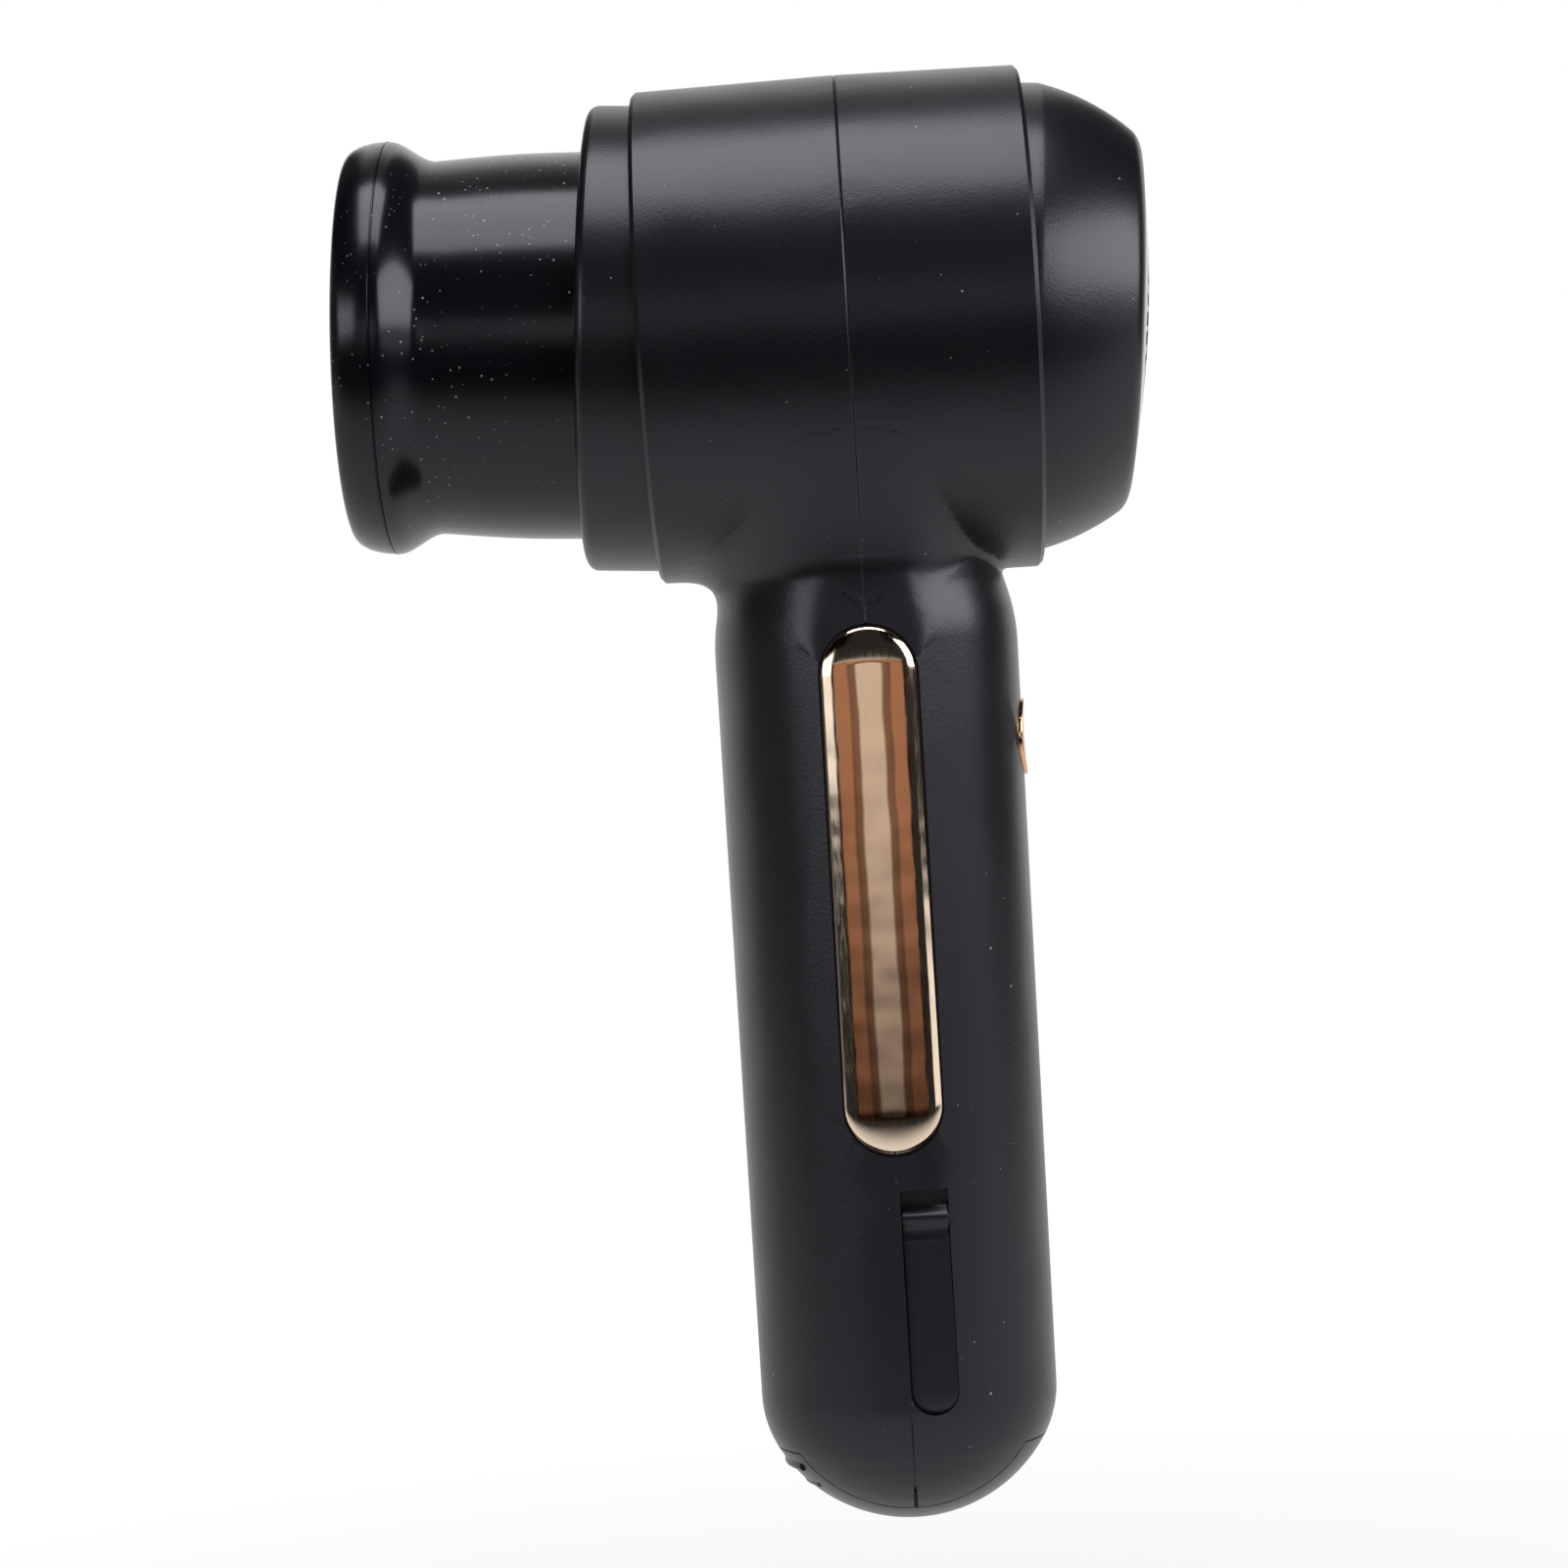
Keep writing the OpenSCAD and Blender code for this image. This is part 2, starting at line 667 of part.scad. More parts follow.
module front_collar() color(soft_black) {
    body = collar_len - collar_corner_r;
    outline = concat(
        [[collar_r, -4]],
        arc(collar_r - collar_corner_r, body, collar_corner_r, 0, 90, 6),
        [[neck_r - 3, collar_len], [neck_r - 3, collar_len - collar_wall],
         [collar_r - 2.2, collar_len - collar_wall], [collar_r - 2.2, -4]]
    );
    difference() {
        on_collar() rotate_extrude() polygon(outline);
        translate([-barrel_front_len, -50, 0]) cube([50, 100, 200]);
        on_outlet() cylinder(r = neck_r + trim_gap + 0.15, h = 30);
    }
    on_barrel(-barrel_front_len) {
        tube(plug_r, plug_r - plug_wall, plug_len);
        tube(plug_r - plug_wall + e, plug_r - 4, 1);
    }
}

module outlet_duct() color(soft_black) {
    bore_r = spigot_r - spigot_wall;
    difference() {
        union() {
            on_barrel(1 + slip_fit - barrel_front_len)
                cylinder(r = plug_r - plug_wall - slip_fit, h = flange_t);
            on_outlet() {
                translate([0, 0, -1]) cylinder(r = spigot_r + 2, h = 1 + shoulder);
                translate([0, 0, 0]) cylinder(r = spigot_r, h = shoulder + spigot_len);
            }
        }
        on_outlet() {
            translate([0, 0, -4.5]) cylinder(r1 = duct_r - 0.4, r2 = bore_r, h = 7);
            translate([0, 0, 2.5 - e]) cylinder(r = bore_r, h = 60);
        }
    }
}

module nozzle() color(gloss_black) {
    rear = nozzle_rear;
    part = rear + neck_len;
    waist = part - bead_depth;
    front = part + lip_depth;
    lip_edge_r = mouth_r + mouth_bevel;
    outer = concat(
        [[neck_r, rear], [neck_r - 0.15, waist - 14], [waist_r + 0.35, waist - 4], [waist_r, waist - 1]],
        [for (i = [1:8]) let (t = i / 8)
            [waist_r + (lip_r - waist_r) * (1 - cos(180 * t)) / 2, waist - 1 + (bead_depth + 1) * t]],
        [for (i = [1:8]) let (a = 90 * i / 8)
            [lip_edge_r + (lip_r - lip_edge_r) * cos(a), part + lip_depth * sin(a)]]
    );
    inner = [
        [mouth_r, front - mouth_bevel], [mouth_r, front - mouth_bevel - mouth_len],
        [nozzle_bore_r, front - mouth_bevel - mouth_len], [nozzle_bore_r, rear]
    ];
    on_outlet() rotate_extrude() polygon(concat(outer, inner));
}

module rear_dome() color(soft_black) {
    inner_face = dome_len - dome_wall;
    inner = [for (p = dome_curve(dome_wall)) if (p[1] > 0 && p[1] < inner_face) p];
    outline = concat(
        [[dome_r, -4]],
        dome_curve(0),
        [for (i = [1:5]) let (a = dome_end + (90 - dome_end) * i / 5)
            [dome_face_r + dome_corner_r * cos(a), dome_corner_s + dome_corner_r * sin(a)]],
        [[grille_r + trim_gap, dome_len], [grille_r + trim_gap, dome_len - grille_seat],
         [grille_r - grille_ledge, dome_len - grille_seat], [grille_r - grille_ledge, inner_face]],
        [for (i = [len(inner) - 1:-1:0]) inner[i]],
        [[plug_r - plug_wall - 0.6, 0], [plug_r - plug_wall - 0.6, -4]]
    );
    difference() {
        on_dome() rotate_extrude() polygon(outline);
        translate([barrel_rear_len - 50, -50, 0]) cube([50, 100, 200]);
    }
    on_barrel(barrel_rear_len - plug_len) tube(plug_r, plug_r - plug_wall, plug_len + 0.4);
}

module intake_grille() color(gloss_black) {
    slot_outer_r = grille_r - grille_band;
    slot_mid_r = (slot_outer_r + slot_inner_r) / 2 - 1;
    base = dome_len - grille_seat + slip_fit / 2;
    on_dome() difference() {
        intersection() {
            translate([0, 0, base]) cylinder(r = grille_r, h = 10);
            translate([0, 0, dome_len + grille_rise - grille_ball]) sphere(r = grille_ball, $fn = 200);
        }
        intersection() {
            translate([0, 0, base - 1]) cylinder(r = grille_r - grille_ledge, h = 10);
            translate([0, 0, dome_len + grille_rise - grille_ball])
                sphere(r = grille_ball - grille_t, $fn = 200);
        }
        grille_slots(slot_inner_r, slot_mid_r - slot_gap / 2, slot_count / 2);
        grille_slots(slot_mid_r + slot_gap / 2, slot_outer_r, slot_count);
    }
}

// A ring of radial slots that widen outwards, with bars of even width between them.
module grille_slots(inner_r, outer_r, count) {
    bar = 1.2;
    for (i = [0:count - 1]) rotate(i * 360 / count)
        translate([0, 0, dome_len - 5]) linear_extrude(12) polygon([
            [inner_r, bar / 2 - inner_r * sin(180 / count)],
            [outer_r, bar / 2 - outer_r * sin(180 / count)],
            [outer_r, outer_r * sin(180 / count) - bar / 2],
            [inner_r, inner_r * sin(180 / count) - bar / 2]
        ]);
}

// A crowned plate with round ends, seated in the recess on the +Y side.
module trim_plate() color(rose_gold) {
    crown_r = ((plate_w / 2) ^ 2 + plate_crown ^ 2) / (2 * plate_crown);
    back_y = plate_lean_y - plate_seat + slip_fit / 2;
    top_y = back_y + plate_t + plate_crown;
    intersection() {
        side_stadium(plate_w, plate_len, back_y, 10);
        translate([0, top_y - crown_r, plate_mid_z - plate_len])
            cylinder(r = crown_r, h = 2 * plate_len, $fn = 360);
    }
}

module trim_plate_left() mirror([0, 1, 0]) trim_plate();

module trim_plate_right() trim_plate();

module side_screws() color(steel) {
    both_sides() at_screws() {
        difference() {
            translate([0, 0, -screw_head_t]) cylinder(r = screw_head_r, h = screw_head_t);
            translate([0, 0, -0.6]) cylinder(r = 0.9, h = 1, $fn = 6);
        }
        translate([0, 0, -screw_len]) cylinder(r = screw_shank_r, h = screw_len - screw_head_t + e);
    }
}

module power_button() color(rose_gold) {
    flange_x = guide_x - slip_fit - button_flange_t;
    dish_r = 14;
    dish_depth = 0.9;
    difference() {
        union() {
            intersection() {
                on_button(flange_x) cylinder(r = button_r, h = 20);
                translate([0, 0, button_z - 20]) cylinder(r = button_face_x, h = 40);
            }
            on_button(flange_x) cylinder(r = button_flange_r, h = button_flange_t);
        }
        translate([button_face_x - dish_depth + dish_r, 0, button_z]) sphere(r = dish_r);
    }
    on_button(plunger_x) cylinder(r = stem_r, h = stem_len + e);
}

module switch_plunger() color(rubber_black) {
    on_button(plunger_x - plunger_len) cylinder(r = plunger_r, h = plunger_len);
}

module tact_switch() color(steel) {
    difference() {
        translate([switch_face_x - switch_t, -switch_size / 2, button_z - switch_size / 2])
            cube([switch_t, switch_size, switch_size]);
        on_button(plunger_x - plunger_len - button_travel - slip_fit)
            cylinder(r = plunger_r + slip_fit, h = 10);
    }
}

module button_board() color(board_green) {
    translate([button_board_x, -button_board_size[0] / 2, button_z - button_board_size[1] / 2])
        cube([button_board_t, button_board_size[0], button_board_size[1]]);
}

// The hinged part of the rubber cover, with a rolled lip at the top and a plug behind.
module port_cover() color(rubber_black) {
    roll_r = 1.1;
    plug = [port_size[0] - 0.6, port_size[1] - 1.4];
    difference() {
        union() {
            translate([cover_x0, cover_y, bend_z]) cube([cover_w, cover_t, cover_z - bend_z]);
            translate([cover_x0, cover_y + roll_r - 0.5, cover_z - roll_r]) rotate([0, 90, 0])
                cylinder(r = roll_r, h = cover_w);
        }
        translate([cover_x0 - 1, cover_y - 1.9, cover_z - 3.6]) rotate([0, 90, 0])
            cylinder(r = 2.3, h = cover_w + 2);
    }
    translate([cover_mid_x, cover_y + cover_t + 1.2, port_z]) rotate([90, 0, 0])
        stadium(plug[0], plug[1], 1.2 + e);
}

// The root of the rubber cover, glued into the recess below the bend.
module port_cover_root() color(rubber_black) {
    bend_gap = 0.25;
    translate([0, cover_y + cover_t, 0]) rotate([90, 0, 0]) linear_extrude(cover_t)
        cover_outline(cover_x0, cover_w, bend_z - bend_gap, cover_end_z);
}

module usb_c_socket() color(steel) {
    tongue = [0.7, 6.7];
    translate([cover_mid_x, port_y + port_len, port_z]) rotate([90, 0, 0]) {
        difference() {
            stadium(port_size[0], port_size[1], port_len);
            translate([0, 0, 1])
                stadium(port_size[0] - 2 * port_wall, port_size[1] - 2 * port_wall, port_len);
        }
        translate([-tongue[0] / 2, -tongue[1] / 2, 0.5]) cube([tongue[0], tongue[1], port_len - 1.2]);
    }
}

module charge_board() color(board_green) {
    translate([port_board_x(), port_y + 0.5, cover_end_z + 4])
        cube([port_board_t, -sleeve_y - slip_fit - port_y - 0.5, cover_len - 6]);
}

// Left face of the charging board, which the socket stands on.
function port_board_x() = cover_mid_x - port_size[0] / 2 - port_board_t;

// The cap under the handle: a curved band with legs that reach up inside the wall.
module bottom_cap() color(soft_black) {
    w = cap_w - 2 * trim_gap;
    rise = cap_rise - trim_gap;
    leg_t = 1.5;
    leg_w = 10;
    leg_x = end_r_at(rise) - handle_wall - leg_t - 1.4;
    intersection() {
        difference() {
            handle_solid();
            handle_solid(cap_t);
        }
        translate([-50, -w / 2, bottom_z - 1]) cube([100, w, rise + 1]);
    }
    for (end = [-1, 1])
        translate([end * (leg_x + leg_t / 2) - leg_t / 2, -leg_w / 2, bottom_z + rise - 2.8])
        cube([leg_t, leg_w, 6.4]);
    for (i = [0:2]) grip_rib(4 + i * rib_pitch, w / 2 - 1.6);
}

// A round rib that follows the cap's front corner, at a height above the bottom.
module grip_rib(rise, reach) {
    r = end_r_at(rise);
    half = asin(reach / r);
    rotate(180 - half) rotate_extrude(angle = 2 * half) translate([r - 0.25, bottom_z + rise])
        circle(r = rib_r);
}

// The strip that joins the two cells at the bottom, on a post of the cap.
module bridge_contact() color(steel) {
    strip_w = 8;
    strip_z = cell_bottom_z - 1.2;
    translate([-cell_x - 3, -strip_w / 2, strip_z]) cube([2 * cell_x + 6, strip_w, 0.4]);
    for (x = [-cell_x, cell_x]) translate([x, 0, strip_z + 0.2]) cylinder(r = 2.6, h = 0.9);
}

// Sleeve around both cells, with bosses for the side screws and clips for the charging board.
module battery_sleeve() color(soft_black) {
    outer_x = cell_x + sleeve_end_r;
    cells_h = cell_top_z + contact_t - sleeve_bottom_z + 1;
    difference() {
        union() {
            translate([0, 0, sleeve_bottom_z]) linear_extrude(sleeve_top_z - sleeve_bottom_z)
                intersection() {
                    square([2 * outer_x, 2 * sleeve_y], center = true);
                    circle(r = handle_bottom_r - handle_wall - 0.25);
                }
            both_sides() for (x = [-screw_x, screw_x], drop = screw_drops)
                translate([x, 0, barrel_z - drop]) rotate([-90, 0, 0])
                    cylinder(r = boss_r, h = pad_y - slip_fit);
            board_clips();
        }
        for (x = [-cell_x, cell_x])
            translate([x, 0, sleeve_bottom_z - 1])
                cylinder(r = cell_bore_r, h = cells_h);
        translate([-3, -6, sleeve_bottom_z - 1])
            cube([6, 12, cells_h]);
        for (x = [-cell_x, cell_x]) translate([x - 1.6, -2.6, sleeve_top_z - 5]) cube([3.2, 5.2, 10]);
        both_sides() at_screws() translate([0, 0, -screw_len - 1])
            cylinder(r = screw_shank_r + running_fit, h = 20);
    }
}

// Four small clips on the sleeve that grip the inner edge of the charging board.
module board_clips() {
    x0 = port_board_x();
    clip = 1;
    for (z = [sleeve_bottom_z + 2.6, port_z - 8], x = [x0 - slip_fit - clip, x0 + port_board_t + slip_fit])
        translate([x, -sleeve_y - 2.2, z]) cube([clip, 2.4, 2.4]);
}

// A cell with its wrapped body and raised end.
module battery_cell(x, positive_up) color(cell_teal) {
    nub_r = 3;
    nub = 0.4;
    body = cell_len - nub;
    translate([x, 0, cell_bottom_z + (positive_up ? 0 : nub)]) {
        rotate_extrude() polygon([
            [0, 0], [cell_r - 0.5, 0], [cell_r, 0.5], [cell_r, body - 0.5], [cell_r - 0.5, body], [0, body]
        ]);
        translate([0, 0, positive_up ? body - e : -nub]) cylinder(r = nub_r, h = nub + e);
    }
}

module battery_cell_front() battery_cell(-cell_x, true);

module battery_cell_rear() battery_cell(cell_x, false);

// Contact plates above the cells, with tabs up through the sleeve.
module cell_contacts() color(steel) {
    for (x = [-cell_x, cell_x]) {
        translate([x, 0, cell_top_z + 0.05]) cylinder(r = 5, h = contact_t - 0.1);
        translate([x - 1.4, -0.2, cell_top_z + 0.1]) cube([2.8, 0.4, sleeve_top_z - cell_top_z + 1.4]);
    }
}

module control_board() color(board_green) {
    translate([board_x, -board_half_w, board_bottom_z])
        cube([board_t, 2 * board_half_w, board_top_z - board_bottom_z]);
}

// Power transistors, controller and connector on the two faces of the board.
module board_components() color(rubber_black) {
    rear_face = board_x + board_t;
    chip = [5, 6];
    for (y = [-11, -5.5, 0, 5.5, 11]) translate([rear_face, y - chip[0] / 2, board_top_z - 10])
        cube([1.2, chip[0], chip[1]]);
    translate([rear_face, -13, board_top_z - 24]) cube([1.2, 8, 8]);
    translate([board_x - 4, 5, board_bottom_z + 3]) cube([4, 8, 6]);
}

module filter_capacitor() color(steel) {
    cap_r = 4;
    translate([board_x - cap_r, -7, board_bottom_z + 10]) {
        cylinder(r = cap_r, h = 14);
        for (y = [-1.2, 1.2]) translate([0, y, -2]) cylinder(r = 0.35, h = 2 + e);
    }
}

// A wire of round section in a plane of constant y, along points given as [x, drop].
// A drop is measured down from the barrel's axis.
module wire(points, y, r = wire_r) {
    sides = 8;
    path = spline(points);
    last = len(path) - 1;
    rings = [
        for (i = [0:last])
            let (d = path[min(i + 1, last)] - path[max(i - 1, 0)], n = [d[1], d[0]] / norm(d))
                for (k = [0:sides - 1]) let (a = 360 * k / sides)
                    [path[i][0] + r * cos(a) * n[0], y + r * sin(a),
                     barrel_z - path[i][1] + r * cos(a) * n[1]]
    ];
    skin = [
        for (i = [0:last - 1], k = [0:sides - 1])
            let (m = (k + 1) % sides, a = i * sides + k, b = i * sides + m)
                each [[a, b, b + sides], [a, b + sides, a + sides]]
    ];
    ends = [
        [for (k = [sides - 1:-1:0]) k],
        [for (k = [0:sides - 1]) last * sides + k]
    ];
    polyhedron(points = rings, faces = concat(skin, ends), convexity = 6);
}

// Three leads from the stator, round the front of the fan's mount and down to the board.
module motor_leads() color("gold") {
    lead_x = cup_base_x - 1.1;
    out = duct_out_r + 1.3;
    board_drop = barrel_z - board_top_z;
    for (y = [-2, 0, 2]) wire([
        [stator_x - 0.9, 8.4], [motor_x - 1, 8.6], [lead_x + 0.6, 9.6],
        [lead_x, 12], [lead_x, 19], [lead_x, out - 2.2],
        [lead_x + 1.2, out - 0.3], [lead_x + 4, out], [lead_x + 9, out], [board_x - 3.5, out + 1.6],
        [board_x - 1, out + 6], [board_x - 0.85, board_drop + 3]
    ], y);
}

module battery_leads() color("firebrick") {
    top = barrel_z - sleeve_top_z - 1;
    board = barrel_z - board_bottom_z;
    wire([[-cell_x, top], [-cell_x, top - 2], [board_x - 1.4, board - 2.5],
          [board_x - 0.85, board - 5]], 1.1);
    wire([[cell_x, top], [cell_x - 0.5, top - 3], [2, board - 1.4], [board_x + board_t + 1.4, board - 2.6],
          [board_x + board_t + 0.85, board - 5]], -1.1);
}

module charge_leads() color("firebrick") {
    r = 0.45;
    top = barrel_z - (cover_end_z + cover_len - 2) - 0.1;
    board = barrel_z - board_bottom_z;
    for (y = [-13, -15]) wire([
        [port_board_x() + 0.6, top], [0.3, top - 4], [0, top - 9], [0, board + 6], [-1.5, board + 1],
        [board_x + board_t + 0.9, board - 3], [board_x + board_t + 0.6, board - 6]
    ], y, r);
}

module button_leads() color("firebrick") {
    r = 0.45;
    for (y = [-3.4, 3.4]) wire([
        [button_board_x - 0.05, button_drop + 6], [button_board_x - 2, button_drop + 6.2],
        [board_x + board_t + 2.5, button_drop + 8], [board_x + board_t + 0.05, button_drop + 8]
    ], y, r);
}

// Duct with a bellmouth, the motor's cup in its middle and the vanes that join them.
module fan_duct() color(soft_black) {
    mouth = duct_rear_x - bell_r;
    outline = concat(
        [[duct_r, duct_front_x], [duct_out_r, duct_front_x], [duct_out_r, mouth - 1.2],
         [duct_r + bell_r + 0.6, duct_rear_x - 0.4], [duct_r + bell_r, duct_rear_x]],
        [for (i = [1:6]) let (a = 90 * i / 6) [duct_r + bell_r * (1 - sin(a)), mouth + bell_r * cos(a)]]
    );
    difference() {
        union() {
            on_barrel() rotate_extrude() polygon(outline);
            on_barrel(isolator_front_x + isolator_len + slip_fit)
                tube(duct_flange_r, duct_r + 1, duct_flange_t);
            on_barrel(isolator_rear_x - slip_fit - duct_flange_t)
                tube(duct_flange_r, duct_r + 1, duct_flange_t);
            on_barrel(cup_base_x - 2) tube(cup_r + cup_wall, cup_r, cup_rear_x - cup_base_x + 2);
            on_barrel(cup_base_x) cylinder(r = cup_r + 0.5, h = cup_base_t);
            vanes();
        }
        on_barrel(cup_base_x - 1) {
            cylinder(r = bearing_r + bearing_seat_wall + slip_fit, h = 10);
            at_mount_screws() cylinder(r = screw_shank_r + 0.1, h = 10);
        }
        lead_window(cup_base_x - 1, 8.4);
        translate([cup_base_x - 3.1, -3.2, barrel_z - 40]) cube([3, 6.4, 40 - bearing_r - 2]);
        lead_groove();
    }
}

// Places children at the four screws of the motor mount.
module at_mount_screws() {
    for (a = [45:90:315]) rotate(a) translate([mount_screw_r, 0, 0]) children();
}

// The window under the motor's axis that its leads pass through, from x forwards or back.
module lead_window(x, drop) {
    translate([x, -3.2, barrel_z - drop - 1.8]) cube([8, 6.4, 3.4]);
}

// The groove under the duct that its leads run in, through the flange and the front isolator.
module lead_groove() {
    translate([-barrel_front_len, -lead_notch[0] / 2, barrel_z - duct_out_r - lead_notch[1]])
        cube([barrel_front_len, lead_notch[0], lead_notch[1]]);
}

// Fixed vanes that turn the swirl back along the axis.
module vanes() {
    len = vane_rear_x - cup_base_x;
    on_barrel(cup_base_x) for (i = [0:vane_count - 1]) rotate(i * 360 / vane_count + 10)
        linear_extrude(len, twist = -vane_twist, slices = 8, $fn = 6)
            translate([cup_r + 0.6, -blade_t / 2]) square([duct_r + 0.4 - cup_r - 0.6, blade_t]);
}

// A rubber ring between the duct and the housing.
module isolator(x, notched) color(rubber_black) {
    difference() {
        on_barrel(x) tube(barrel_bore_r - slip_fit, duct_out_r + slip_fit / 2, isolator_len);
        if (notched) lead_groove();
    }
}

module isolator_front() isolator(isolator_front_x, true);

module isolator_rear() isolator(isolator_rear_x, false);

// Hollow cone that closes the cup's front and lets the air streams meet.
module tail_cone() color(soft_black) {
    base = cup_base_x - 2 - slip_fit;
    tip_r = 5;
    outer = cup_r + cup_wall;
    wall = 1.2;
    difference() {
        union() {
            on_barrel(base - tail_len) rotate_extrude() polygon(concat(
                [[0, 0]],
                [for (i = [0:8]) let (a = 90 * i / 8)
                    [tip_r + (outer - tip_r) * sin(a), tail_len * (1 - cos(a))]],
                [[outer - wall, tail_len], [tip_r, wall], [0, wall]]
            ));
            on_barrel(base - 1) tube(outer - wall + e, cup_r - slip_fit - wall, 1);
            on_barrel(base - e) tube(cup_r - slip_fit, cup_r - slip_fit - wall, 2);
        }
        translate([cup_base_x - 3.1, -3.2, barrel_z - 40]) cube([4, 6.4, 40 - cup_r + 3]);
    }
}

// Round base plate with the bearing tube that carries the stator.
module motor_mount() color(aluminium) {
    tube_r = bearing_r + bearing_seat_wall;
    tube_x = bearing_front_x - 0.5;
    tube_len = bearing_rear_x + bearing_w + 0.5 - tube_x;
    difference() {
        union() {
            on_barrel(motor_x) cylinder(r = mount_r, h = mount_t);
            on_barrel(tube_x) cylinder(r = tube_r, h = tube_len);
        }
        on_barrel(tube_x - 1) cylinder(r = bearing_r - 0.8, h = tube_len + 2);
        on_barrel(tube_x - 1) cylinder(r = bearing_r, h = bearing_w + 1.5);
        on_barrel(bearing_rear_x) cylinder(r = bearing_r, h = bearing_w + 2);
        on_barrel(motor_x - 1) at_mount_screws() cylinder(r = screw_shank_r + running_fit, h = 10);
        lead_window(motor_x - 1, 8.4);
    }
}

module motor_screws() color(steel) {
    on_barrel(cup_base_x - 1.1) at_mount_screws() {
        difference() {
            cylinder(r = screw_head_r - 0.2, h = 1.1 - slip_fit / 2);
            translate([0, 0, -0.5]) cylinder(r = 0.9, h = 1.1, $fn = 6);
        }
        translate([0, 0, 1 - e]) cylinder(r = screw_shank_r, h = cup_base_t + mount_t - 0.4);
    }
}

// A ball bearing: two races with a groove between them, and the balls' cage as one ring.
module bearing(x) color(steel) {
    inner = shaft_r + running_fit;
    mid = (inner + bearing_r) / 2;
    on_barrel(x) difference() {
        cylinder(r = bearing_r, h = bearing_w);
        translate([0, 0, -1]) cylinder(r = inner, h = bearing_w + 2);
        for (z = [-1, bearing_w - 0.3]) translate([0, 0, z]) tube(mid + 0.4, mid - 0.4, 1.3);
    }
}

module bearing_front() bearing(bearing_front_x);

module bearing_rear() bearing(bearing_rear_x);

// Laminated core: a ring on the bearing tube with T-shaped teeth.
module stator_core() color(steel) {
    tooth_w = 2;
    shoe_w = stator_r * sin(180 / tooth_count) * 1.5;
    shoe_t = 0.9;
    on_barrel(stator_x) linear_extrude(stator_len) difference() {
        union() {
            circle(r = tooth_root_r);
            for (i = [0:tooth_count - 1]) rotate(i * 360 / tooth_count) {
                translate([tooth_root_r - 1, -tooth_w / 2]) square([stator_r - tooth_root_r, tooth_w]);
                intersection() {
                    circle(r = stator_r);
                    translate([stator_r - shoe_t - 0.4, -shoe_w / 2]) square([2, shoe_w]);
                }
            }
        }
        circle(r = bearing_r + bearing_seat_wall + running_fit);
    }
}

// One copper coil around each tooth.
module stator_windings() color(copper) {
    gap_w = 2.2;
    coil_t = 0.7;
    x0 = tooth_root_r + 0.15;
    coil_w = stator_r - 1.5 - x0;
    on_barrel(stator_x - coil_t) for (i = [0:tooth_count - 1]) rotate(i * 360 / tooth_count)
        difference() {
        translate([x0, -gap_w / 2 - coil_t, 0])
            cube([coil_w, gap_w + 2 * coil_t, stator_len + 2 * coil_t]);
        translate([x0 - 1, -gap_w / 2, coil_t - 0.1]) cube([coil_w + 2, gap_w, stator_len + 0.2]);
    }
}

module motor_shaft() color(steel) {
    on_barrel(shaft_front_x) difference() {
        cylinder(r = shaft_r, h = shaft_rear_x - shaft_front_x);
        translate([0, 0, 0.4]) tube(shaft_r + 1, shaft_r - 0.3, clip_t + 0.1);
    }
}

// The spinning can, open at the front, with vents in its closed end.
module motor_can() color(aluminium) {
    face_t = 1.6;
    len = can_rear_x - can_x;
    on_barrel(can_x) difference() {
        cylinder(r = can_r, h = len);
        translate([0, 0, -1]) cylinder(r = can_r - can_wall, h = len - face_t + 1);
        translate([0, 0, -1]) cylinder(r = shaft_r + running_fit, h = len + 2);
        for (i = [0:5]) rotate(i * 60) translate([can_r * 0.6, 0, 0]) cylinder(r = 1.7, h = len + 1);
    }
}

module rotor_magnets() color(steel) {
    on_barrel(stator_x - 1) tube(magnet_r - running_fit, magnet_r - magnet_t, stator_len + 2);
}

// Hub with twisted blades, bored for the shaft and hollow at the front over the can's face.
module impeller() color(aluminium) {
    on_barrel(impeller_x) {
        difference() {
            union() {
                cylinder(r = hub_r, h = hub_len);
                translate([0, 0, 1]) blades();
            }
            translate([0, 0, hub_wall + 2]) tube(hub_r - hub_wall, shaft_r + 3.5, hub_len);
            translate([0, 0, -1]) cylinder(r = shaft_r + running_fit, h = hub_len + 2);
            translate([0, 0, hub_len - 4]) cylinder(r = shaft_r + 4, h = 10);
        }
    }
}

// Blades of constant pitch: each cross-section turns evenly along the axis.
module blades() {
    tip_r = duct_r - tip_gap;
    for (i = [0:blade_count - 1]) rotate(i * 360 / blade_count)
        linear_extrude(blade_len, twist = blade_twist, slices = 12, $fn = 6)
            translate([hub_r - 0.5, -blade_t / 2]) square([tip_r - hub_r + 0.5, blade_t]);
}

module impeller_nut() color(steel) {
    on_barrel(nut_x) difference() {
        cylinder(r = nut_r, h = nut_t, $fn = 6);
        translate([0, 0, -1]) cylinder(r = shaft_r + running_fit, h = nut_t + 2);
    }
}

// Rounded nose on the hub that parts the incoming air.
module spinner() color(aluminium) {
    wall = 1.2;
    nose = [for (i = [0:8]) let (a = 90 * i / 8) [hub_r * cos(a), spinner_len * sin(a)]];
    cavity = [
        for (i = [8:-1:0]) let (a = 90 * i / 8)
            [(hub_r - wall) * cos(a), (spinner_len - wall) * sin(a)]
    ];
    on_barrel(spinner_x) {
        rotate_extrude() polygon(concat(nose, cavity));
        tube(hub_r - wall + 0.2, hub_r - hub_wall - wall, 1);
        translate([0, 0, -2]) tube(hub_r - hub_wall - slip_fit, hub_r - hub_wall - wall, 2 + e);
    }
}

